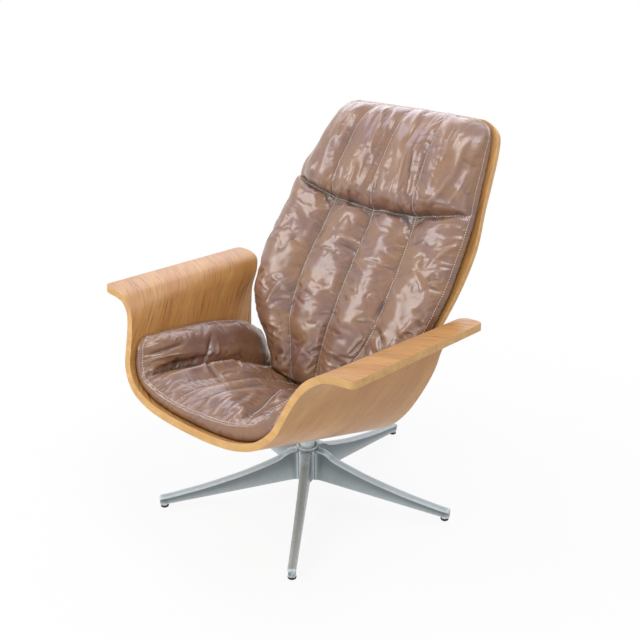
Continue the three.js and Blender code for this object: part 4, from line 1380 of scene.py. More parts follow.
@dataclass
class Cushion:
    """A quilted leather cushion on a sheet: puffed panels between sewn seams, over a boxing strip.

    The top is a grid over the cushion's own coordinates, across from -1 to 1 and up in rows.
    """

    name: str
    node: str
    columns: int
    rows: int
    fill: float
    seed: int
    boxing_steps: int = 6
    boxing_bulge: float = 1.5
    undercut: float = 9.0
    shadow_start: float = 0.0
    shadow_reach: float = 0.25
    floor_rings: int = 9
    faint_seam: float = 0.05
    groove_depth: float = 1.7
    groove_width: float = 2.3
    beside_width: float = 9.0
    beside_calm: float = 0.6
    border_roll: float = 16.0
    # Width and strength of the painted shade along the top's border.
    rim_shade_width: float = 2.0
    rim_shade_share: float = 0.55
    hollow_sizes: tuple = ((2, 0.16), (5, 0.07), (11, 0.012))
    plain_border: int = 6
    fold_steps: int = 40
    fold_fade: float = 0.6
    fold_power: float = 1.6
    pucker_reach: float = 13
    stitch_offset: float = 0.012
    folds: tuple = ()
    inflation: Inflation = field(default_factory=Inflation)

    # What each cushion says of itself

    def span(self) -> tuple:
        """Millimetres for one step of each of the cushion's own coordinates."""
        raise NotImplementedError

    def grid(self) -> tuple:
        """The cushion's own coordinates of each top vertex, as two grids."""
        raise NotImplementedError

    def place(self, across: Array, up: Array, height: Numbers) -> Array:
        """Points at a height over the sheet.

        Args:
            across: The cushion's first coordinate, from -1 to 1.
            up: Its second coordinate.
            height: Millimetres over the sheet.

        Returns:
            The points in millimetres.
        """
        raise NotImplementedError

    def height(self, across: Array, up: Array) -> Array:
        """Height of the filled cushion over the sheet.

        Args:
            across: The cushion's first coordinate.
            up: Its second coordinate.

        Returns:
            Millimetres over the sheet.
        """
        raise NotImplementedError

    def seam_distances(self, across: Array, up: Array) -> list:
        """Measures every point of the top against every seam.

        Args:
            across: The cushion's first coordinate.
            up: Its second coordinate.

        Returns:
            For each seam its distance and the place along it in millimetres, and its share of the full depth.
        """
        raise NotImplementedError

    def wrinkles(self, across: Array, up: Array, metric: tuple) -> Array:
        """Height of the fine wrinkles.

        Args:
            across: The cushion's first coordinate.
            up: Its second coordinate.
            metric: What _metric measures over the top.

        Returns:
            Heights in millimetres.
        """
        raise NotImplementedError

    def stitch_lines(self) -> list:
        """Lines of stitches as pairs of coordinate arrays."""
        raise NotImplementedError

    # What every cushion does

    def build(self, finishes: Finishes) -> None:
        """Makes, swells, sculpts and dresses the cushion and its stitches.

        Args:
            finishes: The chair's finishes.
        """
        across, up = self.grid()
        top = self.place(across, up, self.height(across, up))
        border = border_loop(*across.shape)
        strip = self._boxing(across.ravel()[border], up.ravel()[border])
        top, strip = self._swell(across, up, top, strip)
        across, up, top = refined(across), refined(up), refined(top)
        strip = doubled(doubled(strip.swapaxes(0, 1), closed=True).swapaxes(0, 1))
        top, shading = self._sculpt(across, up, top)
        border = border_loop(*across.shape)
        strip[0] = top.reshape(-1, 3)[border]
        floor = self._floor(across.ravel()[border], up.ravel()[border])
        piece = self._mesh(self.name, top, strip, floor)
        # Painted shadow: the boxing darkens from shadow_start down to the sheet, and the floor under the
        # cushion is painted fully dark.
        down = np.linspace(0, 1, len(strip))[1:]
        shade = np.repeat(np.clip((down - self.shadow_start) / self.shadow_reach, 0, 1), len(border))
        rest = {FOLD_SHADING: np.concatenate([0.5 - 0.5 * shade, np.zeros(len(floor))]),
                SEAM_SHADE: np.concatenate([shade, np.ones(len(floor))])}
        for label, values in shading.items():
            give_values(piece, label, np.concatenate([values.ravel(), rest[label]]))
        finishes.dress(piece, finishes.leather)
        settle(piece, Body.SEAT, Slot.LEATHER, self.node)
        self._sew(top, finishes)

    def _boxing(self, across: Array, up: Array) -> Array:
        """The strip round the cushion, from the top's border down to the sheet.

        Args:
            across: First coordinate of each border point.
            up: Second coordinate of each border point.

        Returns:
            Rows of points, the top's border first.
        """
        edge = self.height(across, up)
        rows = []
        for share in np.linspace(0, 1, self.boxing_steps + 1):
            inset = self.undercut * share**2 - self.boxing_bulge * math.sin(math.pi * share)
            rows.append(self.place(*self._drawn_in(across, up, inset), edge * (1 - share)))
        return np.stack(rows)

    def _drawn_in(self, across: Array, up: Array, inset: float) -> tuple:
        """The cushion's coordinates moved towards its middle by millimetres."""
        middle = (up.min() + up.max()) / 2
        half = (up.max() - up.min()) / 2 * self.span()[1]
        return across * (1 - inset / self.span()[0]), middle + (up - middle) * (1 - inset / half)

    def _floor(self, across: Array, up: Array) -> Array:
        """Rings that close the cushion against the sheet.

        Args:
            across: First coordinate of each border point.
            up: Second coordinate of each border point.

        Returns:
            The rings' points and the centre.
        """
        across, up = self._drawn_in(across, up, self.undercut)
        middle_up = (up.min() + up.max()) / 2
        shares = np.linspace(1, 0, self.floor_rings + 1)[1:-1]
        rings = [self.place(across * share, middle_up + (up - middle_up) * share, 0.0) for share in shares]
        centre = self.place(np.zeros(1), np.full(1, middle_up), 0.0)
        return np.concatenate([np.concatenate(rings), centre])

    def _mesh(self, name: str, top: Array, strip: Array, floor: Array) -> Piece:
        """Joins the top, the boxing and the floor into one closed skin.

        Args:
            name: The piece's name.
            top: Grid of the top's points.
            strip: Rows of the boxing's points.
            floor: The floor's points, the centre last.

        Returns:
            The piece.
        """
        rows, columns = top.shape[:2]
        border = border_loop(rows, columns)
        count, around = rows * columns, len(border)
        faces = grid_faces(rows, columns)
        below = count + np.arange(around)
        after = np.roll(np.arange(around), -1)
        faces += np.stack([border, border[after], below[after], below], -1).tolist()
        rings = len(strip) - 1 + (len(floor) - 1) // around
        faces += grid_faces(rings, around, count, closed=True)
        last, centre = count + (rings - 1) * around, count + rings * around
        faces += [[last + int(n), last + int(m), centre] for n, m in enumerate(after)]
        points = np.concatenate([top.reshape(-1, 3), strip[1:].reshape(-1, 3), floor])
        return new_piece(name, in_frame(points), faces)

    def _swell(self, across: Array, up: Array, top: Array, strip: Array) -> tuple:
        """Swells the top and the boxing with Blender's cloth, sewn down at the seams.

        Args:
            across: The grid's first coordinate.
            up: The grid's second coordinate.
            top: The top's points in millimetres.
            strip: The boxing's points.

        Returns:
            The swollen top and boxing.
        """
        plan = self.inflation
        border = border_loop(*across.shape)
        floor = self._floor(across.ravel()[border], up.ravel()[border])
        shape = self._mesh("swelling", top, strip, floor)
        count, around = top.shape[0] * top.shape[1], len(border)
        held = np.zeros(len(shape.data.vertices), bool)
        held[:count] = self._sewn(across, up).ravel()
        held[border] = True
        held[count + (len(strip) - 2) * around:] = True
        shape.vertex_groups.new(name="held").add(np.flatnonzero(held).tolist(), 1.0, "REPLACE")
        cloth = shape.modifiers.new("swell", "CLOTH")
        settings = cloth.settings
        settings.quality = plan.quality
        settings.vertex_group_mass = "held"
        settings.pin_stiffness = 1.0
        settings.mass = plan.mass
        settings.tension_stiffness = settings.compression_stiffness = plan.stiffness
        settings.shear_stiffness = plan.stiffness * plan.shear_share
        settings.bending_stiffness = plan.bending
        settings.shrink_min = -plan.slack
        settings.use_pressure = True
        settings.uniform_pressure_force = plan.pressure
        settings.effector_weights.gravity = 0
        cloth.collision_settings.use_collision = False
        cloth.point_cache.frame_start, cloth.point_cache.frame_end = 1, plan.frames
        scene = bpy.context.scene
        for number in range(1, plan.frames + 1):
            scene.frame_set(number)
        grown = shape.evaluated_get(bpy.context.evaluated_depsgraph_get())
        points = np.empty(len(shape.data.vertices) * 3)
        grown.data.vertices.foreach_get("co", points)
        points = in_forms(points.reshape(-1, 3))
        scene.frame_set(1)
        bpy.data.objects.remove(shape)
        before = np.concatenate([top.reshape(-1, 3), strip[1:].reshape(-1, 3)])
        move = points[:len(before)] - before
        far = np.linalg.norm(move, axis=-1, keepdims=True)
        limited = move * (np.tanh(far / plan.most) * plan.most / np.maximum(far, 1e-9))
        log.info("%s swells by up to %.1f mm, %.1f mm kept", self.name, far.max(), np.abs(limited).max())
        after = before + limited
        sides = after[count:].reshape(len(strip) - 1, around, 3)
        return after[:count].reshape(top.shape), np.concatenate([after[border][None], sides])

    def _sewn(self, across: Array, up: Array) -> Array:
        """Which grid vertices are held by a seam.

        Args:
            across: The cushion's first coordinate.
            up: Its second coordinate.

        Returns:
            True where a vertex is held.
        """
        held = np.zeros(across.shape, bool)
        for distance, _, depth in self.seam_distances(across, up):
            step = np.abs(np.gradient(distance, axis=1)) + np.abs(np.gradient(distance, axis=0))
            held |= (np.abs(distance) <= step * 0.5) & (depth > self.faint_seam)
        return held

    def _sculpt(self, across: Array, up: Array, top: Array) -> tuple:
        """Adds seam grooves, listed folds and wrinkles, and measures how the surface folds.

        Args:
            across: The grid's first coordinate.
            up: The grid's second coordinate.
            top: The top's points.

        Returns:
            The sculpted points, and the values for painted shade and lighter crests by attribute name.
        """
        metric = self._metric(top)
        normal = self._normals(top)
        lift = self.wrinkles(across, up, metric)
        for fold in self.folds:
            lift = lift + self._fold_height(fold, across, up)
        # Seam grooves are kept as painted shade.
        seam_shade, beside = np.zeros(across.shape), np.zeros(across.shape)
        for distance, _, depth in self.seam_distances(across, up):
            near = np.exp(-((distance / self.groove_width) ** 2)) * depth
            lift = lift - self.groove_depth * near
            seam_shade = np.maximum(seam_shade, near)
            beside = np.maximum(beside, np.exp(-((distance / self.beside_width) ** 2)))
        # Painted shade along the top's border.
        border = np.minimum.reduce(metric[2:])
        rim_shade = self.rim_shade_share * np.exp(-((border / self.rim_shade_width) ** 2))
        top = top + normal * (lift * rolled(border + 1.0, self.border_roll))[..., None]
        # Hollows get painted shade and crests a lighter tone; beside the seams this is calmed.
        hollow = self._hollowness(top, self._normals(top)) * (1 - self.beside_calm * beside)
        return top, {FOLD_SHADING: np.clip(0.5 + hollow, 0, 1), SEAM_SHADE: np.maximum(seam_shade, rim_shade)}

    def _fold_height(self, fold: Fold, across: Array, up: Array) -> Array:
        """Height of one listed fold.

        Args:
            fold: The fold.
            across: The cushion's first coordinate.
            up: Its second coordinate.

        Returns:
            Heights in millimetres.
        """
        scale = self.span()
        here = np.stack([across * scale[0], up * scale[1]], -1)
        line = SplineLine([(a * scale[0], b * scale[1], 0) for a, b in fold.path])
        track = line.at(np.linspace(0, 1, self.fold_steps))[:, :2]
        nearest, share = np.full(across.shape, np.inf), np.zeros(across.shape)
        for n, (start, end) in enumerate(zip(track[:-1], track[1:])):
            run = end - start
            t = np.clip(((here - start) @ run) / float(run @ run), 0, 1)
            away = here - (start + t[..., None] * run)
            distance = np.hypot(away[..., 0], away[..., 1])
            closer = distance < nearest
            nearest = np.where(closer, distance, nearest)
            share = np.where(closer, (n + t) / (len(track) - 1), share)
        taper = np.sin(np.pi * np.clip(share * 0.96 + 0.02, 0, 1)) ** self.fold_fade
        return fold.height * taper * np.exp(-((nearest / fold.width) ** self.fold_power))

    def layered(self, ripples: tuple, x: Array, y: Array) -> Array:
        """Height of several layers of wrinkles over each other."""
        return sum(ripple.over(x, y, self.seed) for ripple in ripples)

    @staticmethod
    def _metric(top: Array) -> tuple:
        """Distances over the grid in millimetres: across, up, and from each of the four borders.

        Args:
            top: The grid of points.

        Returns:
            Six grids in that order.
        """
        wide = np.linalg.norm(np.diff(top, axis=1), axis=-1)
        tall = np.linalg.norm(np.diff(top, axis=0), axis=-1)
        x = np.concatenate([np.zeros((len(top), 1)), np.cumsum(wide, axis=1)], axis=1)
        y = np.concatenate([np.zeros((1, top.shape[1])), np.cumsum(tall, axis=0)], axis=0)
        middle = x[:, top.shape[1] // 2][:, None]
        return x - middle, y, x, x[:, -1:] - x, y, y[-1:] - y

    @staticmethod
    def _normals(top: Array) -> Array:
        """Unit normals of the grid, towards the sitter."""
        return unit(np.cross(np.gradient(top, axis=1), np.gradient(top, axis=0)))

    def _hollowness(self, top: Array, normal: Array) -> Array:
        """How far each point stands over its surroundings, at several sizes.

        Args:
            top: Grid of points.
            normal: Their unit normals.

        Returns:
            Shares, crests positive and hollows negative.
        """
        total = np.zeros(top.shape[:2])
        for reach, weight in self.hollow_sizes:
            mean = np.zeros_like(top)
            for step_y, step_x in ((-reach, 0), (reach, 0), (0, -reach), (0, reach)):
                rows = np.clip(np.arange(top.shape[0]) + step_y, 0, top.shape[0] - 1)
                columns = np.clip(np.arange(top.shape[1]) + step_x, 0, top.shape[1] - 1)
                mean += top[rows][:, columns] / 4
            total += ((top - mean) * normal).sum(-1) * weight
        edge = self.plain_border
        total[:edge], total[-edge:], total[:, :edge], total[:, -edge:] = 0, 0, 0, 0
        return total

    @staticmethod
    def _border_stitches(steps: int, inset_up: float, inset_across: float) -> list:
        """Lines of stitches inside the far border and both side borders.

        Args:
            steps: Points of each line.
            inset_up: Row share between the far border and its line.
            inset_across: Column share between a side border and its line.

        Returns:
            Pairs of row shares and column shares.
        """
        line = np.linspace(0.004, 0.996, steps)
        sides = [(line, np.full_like(line, column)) for column in (inset_across, 1 - inset_across)]
        return [(np.full_like(line, 1 - inset_up), line)] + sides

    def _sew(self, top: Array, finishes: Finishes) -> None:
        """Lays the stitches over the finished top.

        Args:
            top: The finished top.
            finishes: The chair's finishes.
        """
        normal = self._normals(top)
        points, faces = [], []
        for rows, columns in self.stitch_lines():
            track = self._on_grid(top, rows, columns)
            lift = self._on_grid(normal, rows, columns)
            StitchRow().add(track, unit(lift), points, faces)
        piece = new_piece(f"{self.name}_stitching", in_frame(np.concatenate(points)), faces)
        finishes.dress(piece, finishes.thread)
        settle(piece, Body.SEAT, Slot.LEATHER)

    @staticmethod
    def _on_grid(values: Array, rows: Array, columns: Array) -> Array:
        """Reads a grid between its vertices.

        Args:
            values: The grid.
            rows: Row shares from 0 to 1.
            columns: Column shares from 0 to 1.

        Returns:
            A value for each pair.
        """
        y, x = rows * (values.shape[0] - 1), columns * (values.shape[1] - 1)
        j = np.minimum(y.astype(int), values.shape[0] - 2)
        i = np.minimum(x.astype(int), values.shape[1] - 2)
        t, s = (y - j)[:, None], (x - i)[:, None]
        low = values[j, i] * (1 - s) + values[j, i + 1] * s
        high = values[j + 1, i] * (1 - s) + values[j + 1, i + 1] * s
        return low * (1 - t) + high * t


@dataclass(frozen=True)
class StitchRow:
    """A row of short raised stitches."""

    pitch: float = 6.2
    length: float = 4.0
    radius: float = 0.9
    sides: int = 5
    stop_shares: tuple = (-0.5, -0.36, 0, 0.36, 0.5)
    swell_shares: tuple = (0.12, 0.8, 1.0, 0.8, 0.12)
    lift_shares: tuple = (-0.3, 0.3, 0.6, 0.3, -0.3)

    def add(self, track: Array, normal: Array, points: list, faces: list) -> None:
        """Adds the stitches of one line to a mesh in the making.

        Args:
            track: Close points of the line in millimetres.
            normal: The surface's normal at each of them.
            points: The mesh's points, which grow.
            faces: The mesh's faces, which grow.
        """
        run = travelled(track)
        rings = len(self.stop_shares)
        first = sum(len(part) for part in points)
        for middle in np.arange(self.pitch, run[-1] - self.pitch, self.pitch):
            stops = middle + np.array(self.stop_shares) * self.length
            centre, up = (np.stack([np.interp(stops, run, values[:, axis]) for axis in range(3)], -1)
                          for values in (track, normal))
            up = unit(up)
            side = unit(np.cross(unit(centre[-1] - centre[0]), up))
            centre = centre + up * (np.array(self.lift_shares) * self.radius)[:, None]
            swell = np.array(self.swell_shares) * self.radius
            points.append(round_sections(centre, swell, side, up, self.sides))
            faces.extend(tube_faces(rings, self.sides, first))
            first += rings * self.sides


@dataclass
class SeatCushion(Cushion):
    """The seat cushion, lying in the U of the seat shell."""

    sheet: SeatSheet = field(default_factory=SeatSheet)
    gap: float = 0.75
    edge: float = 24
    front_edge_shares: tuple = ((-1, 20), (-0.5, 19), (0, 26), (0.35, 35), (0.7, 36), (1, 26))
    rear_edge: float = 40
    centre: float = 66
    front_centre: float = 48
    side: float = 40
    side_thinning: float = 0.6
    roll: float = 42
    rear_roll: float = 20
    front_roll: float = 80
    front_share: float = 0.026
    rear_share: float = 0.98
    rear_side_reach: float = 0.08
    corner_share: float = 0.07
    corner_start: float = 0.84
    shadow_start: float = 0.75
    side_shares: tuple = ((0, 0.535), (0.12, 0.534), (0.25, 0.53), (0.37, 0.525), (0.5, 0.517),
                          (0.62, 0.506), (0.75, 0.488), (0.85, 0.468), (0.95, 0.44), (1.06, 0.405))
    seams: tuple = (Seam(-0.5, 17), Seam(-0.15, 7), Seam(-0.03, 8, 0.38), Seam(0.5, 17))
    seam_width_share: float = 0.055
    seam_bend_power: float = 1.8
    half_span: float = 300
    long_span: float = 480
    side_run_share: float = 0.9
    rear_swell: float = 6
    stitch_insets: tuple = (0.011, 0.0075)
    body_ripples: tuple = (Ripple(3.6, 56, 80), Ripple(1.0, 28, 40, 1), Ripple(0.9, 34, 60, 2, 0.12),
                           Ripple(-0.8, 50, 40, 3, 0.09))
    front_ripples: tuple = (Ripple(3.6, 12, 48, 4), Ripple(1.4, 15, 40, 5, 0.14))
    side_ripple: Ripple = Ripple(1.8, 9, 60, 6)
    seam_ripple: Ripple = Ripple(1.2, 12, 50, 8)

    def span(self) -> tuple:
        """Half the cushion's width and its length."""
        return self.half_span, self.long_span

    def grid(self) -> tuple:
        """Even columns and rows."""
        rows, columns = np.linspace(0, 1, self.rows), np.linspace(-1, 1, self.columns)
        up, across = np.meshgrid(rows, columns, indexing="ij")
        return across, up

    def _on_sheet(self, across: Array, up: Array) -> tuple:
        """The sheet's coordinates under the cushion's own.

        Args:
            across: The cushion's first coordinate.
            up: Its second coordinate.

        Returns:
            The sheet's two coordinates.
        """
        turn = np.clip((np.abs(across) - self.corner_start) / (1 - self.corner_start), 0, 1)
        corner = self.corner_share * (1 - np.sqrt(1 - turn**2))
        rear = self.rear_share + self.rear_side_reach * np.clip(np.abs(across) * 3 - 1, 0, 1)
        v = blend_between(self.front_share + corner, rear - corner * 1.1, up)
        return across * read_shares(self.side_shares, v), v

    def place(self, across: Array, up: Array, height: Numbers) -> Array:
        """Points at a height over the seat's sheet."""
        u, v = self._on_sheet(across, up)
        return self.sheet.surface(u, v, -self.gap - np.asarray(height, float))

    def height(self, across: Array, up: Array) -> Array:
        """Height of the filled cushion over the sheet.

        Args:
            across: The cushion's first coordinate.
            up: Its second coordinate.

        Returns:
            Millimetres over the sheet.
        """
        u, _ = self._on_sheet(across, up)
        length = np.linalg.norm(self.sheet.front(u) - self.sheet.rear(u), axis=-1)
        from_side = (1 - np.abs(across)) * self.sheet.front_half_width * self.side_run_share
        roll = np.minimum.reduce([rolled(up * length, self.front_roll) ** 1.5,
                                  rolled((1 - up) * length, self.rear_roll),
                                  rolled(from_side, self.roll)])
        rise = np.sin(np.clip(up * 1.6, 0, 1) * math.pi / 2)
        middle = blend_between(self.front_centre, self.centre, rise)
        middle = blend_between(middle, self.rear_edge + self.rear_swell, np.clip(up * 2.5 - 1.5, 0, 1))
        full = blend_between(middle, self.side, np.abs(across) ** 4)
        front = read_shares(self.front_edge_shares, across)
        ends = blend_between(front, self.edge, np.clip(up * 4, 0, 1))
        ends = blend_between(ends, self.rear_edge, np.clip(up * 4 - 3, 0, 1))
        ends = ends * (1 - self.side_thinning * np.abs(across) ** 8)
        drawn = sum(seam.depth * np.exp(-((self._off_seam(seam, across, up) / self.seam_width_share) ** 2))
                    for seam in self.seams)
        return ends + (full - ends) * roll - drawn * roll

    def _off_seam(self, seam: Seam, across: Numbers, up: Array) -> Array:
        """Distance from a seam in the cushion's own coordinate."""
        return across - seam.place - seam.bend * (1 - up) ** self.seam_bend_power

    def seam_distances(self, across: Array, up: Array) -> list:
        """The seams that run from front to rear."""
        fade = rolled(np.minimum(up, 1 - up) * self.long_span + 4, 30)
        return [(self._off_seam(seam, across, up) * self.half_span, up * self.long_span, fade)
                for seam in self.seams]

    def wrinkles(self, across: Array, up: Array, metric: tuple) -> Array:
        """Puckers along the border and the seams, and soft creases between them.

        Args:
            across: The cushion's first coordinate.
            up: Its second coordinate.
            metric: Distances over the top in millimetres.

        Returns:
            Millimetres over the smooth top.
        """
        x, y, left, right, front, _ = metric
        lift = self.layered(self.body_ripples, x, y)
        near_front = np.clip(1.2 - front / 70, 0, 1) * rolled(front, 24)
        lift += near_front * self.layered(self.front_ripples, x, front)
        near_side = np.exp(-np.minimum(left, right) / 30) * np.clip(1.4 - y / 200, 0.15, 1)
        lift += near_side * self.side_ripple.over(y, x, self.seed)
        for distance, place, depth in self.seam_distances(across, up):
            near = depth * np.exp(-np.abs(distance) / self.pucker_reach)
            lift += near * self.seam_ripple.over(place, distance, self.seed)
        return lift

    def stitch_lines(self) -> list:
        """Stitches inside the border and beside each seam."""
        border = self._border_stitches(500, *self.stitch_insets)
        far, line = border[0]
        up = np.linspace(0.02, 0.98, 400)
        beside = [(up, (1 - self._off_seam(seam, 0.0, up) + self.stitch_offset) / 2) for seam in self.seams]
        return [(1 - far, line)] + border + beside


@dataclass
class BackCushion(Cushion):
    """The back cushion with its headrest, on the front of the back shell.

    Rows run from -1 at the foot over the head seam at 0 to 1 at the top.
    """

    sheet: BackSheet = field(default_factory=BackSheet)
    gap: float = 1.5
    edge: float = 15
    head_edge: float = 8
    crown: float = 40
    seam_depth: float = 13
    head_seam_depth: float = 6
    head_seam_share: float = 0.4
    head: float = 78
    head_seam: float = 31
    seam_sag: float = 40
    seam_share: float = 0.664
    bottom_share: float = 0.04
    top_margin: float = 5
    roll: float = 46
    head_roll: float = 95
    side_seam: float = 0.45
    side_seam_spread: tuple = (0.07, 0.04)
    seam_width_share: float = 0.09
    width_shares: tuple = ((0, 0.33), (0.012, 0.43), (0.025, 0.483), (0.084, 0.573), (0.137, 0.687),
                           (0.186, 0.80), (0.247, 0.885), (0.316, 0.93), (0.38, 0.953), (0.433, 0.962),
                           (0.546, 0.947), (0.631, 0.932), (0.707, 0.905), (0.774, 0.872), (0.85, 0.835),
                           (0.921, 0.8), (0.955, 0.765), (0.98, 0.71), (0.995, 0.63), (1, 0.58))
    half_span: float = 270
    row_span: float = 400
    top_arc_share: float = 0.4
    stitch_insets: tuple = (0.0065, 0.0085)
    side_rims: tuple = (2.2, 0.8)
    lower_ripples: tuple = (Ripple(4.2, 60, 46), Ripple(1.1, 30, 26, 1), Ripple(1.3, 60, 30, 2, 0.12),
                            Ripple(-1.0, 36, 50, 3, 0.1))
    head_ripples: tuple = (Ripple(4.5, 44, 80, 4), Ripple(2.4, 23, 90, 5), Ripple(1.2, 22, 85, 6, 0.13),
                           Ripple(-0.8, 40, 30, 7, 0.09))
    rim_ripple: Ripple = Ripple(1.0, 9, 70, 8)
    top_ripple: Ripple = Ripple(0.5, 12, 70, 9)
    patch_ripple: Ripple = Ripple(2.5, 90, 60, 12)
    seam_ripple: Ripple = Ripple(1.1, 12, 55, 20)

    def span(self) -> tuple:
        """Half the cushion's width and the length of one step of its rows."""
        return self.half_span, self.row_span

    def _ends(self) -> tuple:
        """Distances up the back's line at which the cushion begins and ends."""
        return self.bottom_share * self.sheet.length, self.sheet.length - self.top_margin

    def _seam_at(self, across: Array) -> Array:
        """Distance up the back's line of the sagging head seam."""
        return self.seam_share * self.sheet.length + self.seam_sag * (across**2 - 0.5)

    def grid(self) -> tuple:
        """Even columns, and rows that fall on the head seam."""
        lower = int(self.rows * self.seam_share)
        up = np.concatenate([np.linspace(-1, 0, lower)[:-1], np.linspace(0, 1, self.rows - lower + 1)])
        up, across = np.meshgrid(up, np.linspace(-1, 1, self.columns), indexing="ij")
        return across, up

    def _along(self, across: Array, up: Array) -> Array:
        """Distance up the back's line.

        Args:
            across: The cushion's first coordinate.
            up: Its second coordinate.

        Returns:
            Millimetres up the line.
        """
        bottom, top = self._ends()
        seam = self._seam_at(across)
        arc = self.sheet.top_arc * across**2 * self.top_arc_share
        lower = blend_between(bottom + self.sheet.bottom_arc * across**2, seam, up + 1)
        return np.where(up <= 0, lower, blend_between(seam, top - arc, up))

    def _side_seam(self, up: Array) -> Array:
        """How far across the two outer seams run."""
        lower, upper = self.side_seam_spread
        return self.side_seam + np.where(up < 0, -up * lower, up * upper)

    def _half_width(self, along: Array) -> Array:
        """Half the cushion's width at a distance up the back."""
        bottom, top = self._ends()
        return self.sheet.half_width * read_smooth(self.width_shares, (along - bottom) / (top - bottom))

    def place(self, across: Array, up: Array, height: Numbers) -> Array:
        """Points at a height over the back's sheet."""
        along = self._along(across, up)
        lift = self.gap + np.asarray(height, float)
        return self.sheet.surface(across * self._half_width(along), along, lift)

    def height(self, across: Array, up: Array) -> Array:
        """Height of the filled cushion over the sheet.

        Args:
            across: The cushion's first coordinate.
            up: Its second coordinate.

        Returns:
            Millimetres over the sheet.
        """
        along = self._along(across, up)
        length, (bottom, top) = self.sheet.length, self._ends()
        from_side = (1 - np.abs(across)) * self._half_width(along)
        sewn = np.maximum.reduce([np.exp(-(((np.abs(across) - seam) / self.seam_width_share) ** 2))
                                  for seam in (0.0, self._side_seam(up))])
        from_end = np.minimum(along - bottom, -up * (top - bottom) * self.seam_share)
        roll = np.minimum(rolled(np.maximum(along - bottom, 0), self.roll), rolled(from_side, self.roll))
        near = rolled(np.maximum(from_end, 0), self.roll)
        full = blend_between(self.head_seam, self.crown, near)
        lower = self.edge + (full - self.edge) * roll - self.seam_depth * sewn * roll * near
        from_seam, from_top = up * (1 - self.seam_share) * length, (1 - up) * (1 - self.seam_share) * length
        swell = rolled(np.maximum(from_seam, 0), self.head_roll * 0.5)
        swell = swell * rolled(from_top, self.head_roll * 1.4) ** 1.3
        head_roll = rolled(from_side, self.head_roll) ** 1.6
        head_edge = blend_between(self.edge, self.head_edge, np.clip(up * 2, 0, 1))
        head_full = blend_between(blend_between(self.head_seam, self.head_edge, up), self.head, swell)
        upper = head_edge + (head_full - head_edge) * head_roll - self.head_seam_depth * sewn * swell
        return np.where(up <= 0, lower, upper)

    def seam_distances(self, across: Array, up: Array) -> list:
        """The three seams up the cushion and the softer head seam across it.

        Args:
            across: The cushion's first coordinate.
            up: Its second coordinate.

        Returns:
            Distance, place along and depth share of each seam.
        """
        along = self._along(across, up)
        low = along - self._ends()[0]
        fade = rolled(low + 4, 30) * np.where(up > 0, 0.75 * rolled((1 - up) * 230 + 1, 60), 1.0)
        half = self._half_width(along)
        found = [((across - side * self._side_seam(up)) * half, along, fade) for side in (-1, 0, 1)]
        head = (along - self._seam_at(across), across * half, np.full_like(fade, self.head_seam_share))
        return found + [head]

    def wrinkles(self, across: Array, up: Array, metric: tuple) -> Array:
        """Puckers along the border and the seams, crumples in the lower panels, long folds in the head.

        Args:
            across: The cushion's first coordinate.
            up: Its second coordinate.
            metric: Distances over the top in millimetres.

        Returns:
            Millimetres over the smooth top.
        """
        x, y, left, right, _, top = metric
        lift = np.where(up > 0, self.layered(self.head_ripples, x, y), self.layered(self.lower_ripples, x, y))
        patches = np.clip(0.4 + self.patch_ripple.over(x, y, self.seed), 0.1, 1)
        rims = np.exp(-np.minimum(left, right) / 22) * self.rim_ripple.over(y, x, self.seed)
        rims = rims * np.where(right < left, *self.side_rims)
        lift += patches * (rims + np.exp(-top / 26) * self.top_ripple.over(x, top, self.seed))
        for n, (distance, place, depth) in enumerate(self.seam_distances(across, up)):
            near = patches * depth * np.exp(-np.abs(distance) / self.pucker_reach)
            lift += near * self.seam_ripple.over(place, distance, self.seed + n)
        return lift

    def stitch_lines(self) -> list:
        """Stitches inside the border, beside each seam and over the head seam."""
        border = self._border_stitches(700, *self.stitch_insets)
        line = border[0][1]
        seam = (int(self.rows * self.seam_share) - 1) / (self.rows - 1)
        along = np.linspace(0.01, 0.99, 700)
        spread = self._side_seam(np.interp(along, [0, seam, 1], [-1, 0, 1]))
        beside = [(along, (side * spread + self.stitch_offset + 1) / 2) for side in (-1, 0, 1)]
        return border + beside + [(np.full_like(line, seam - 0.004), line)]


# The cast base


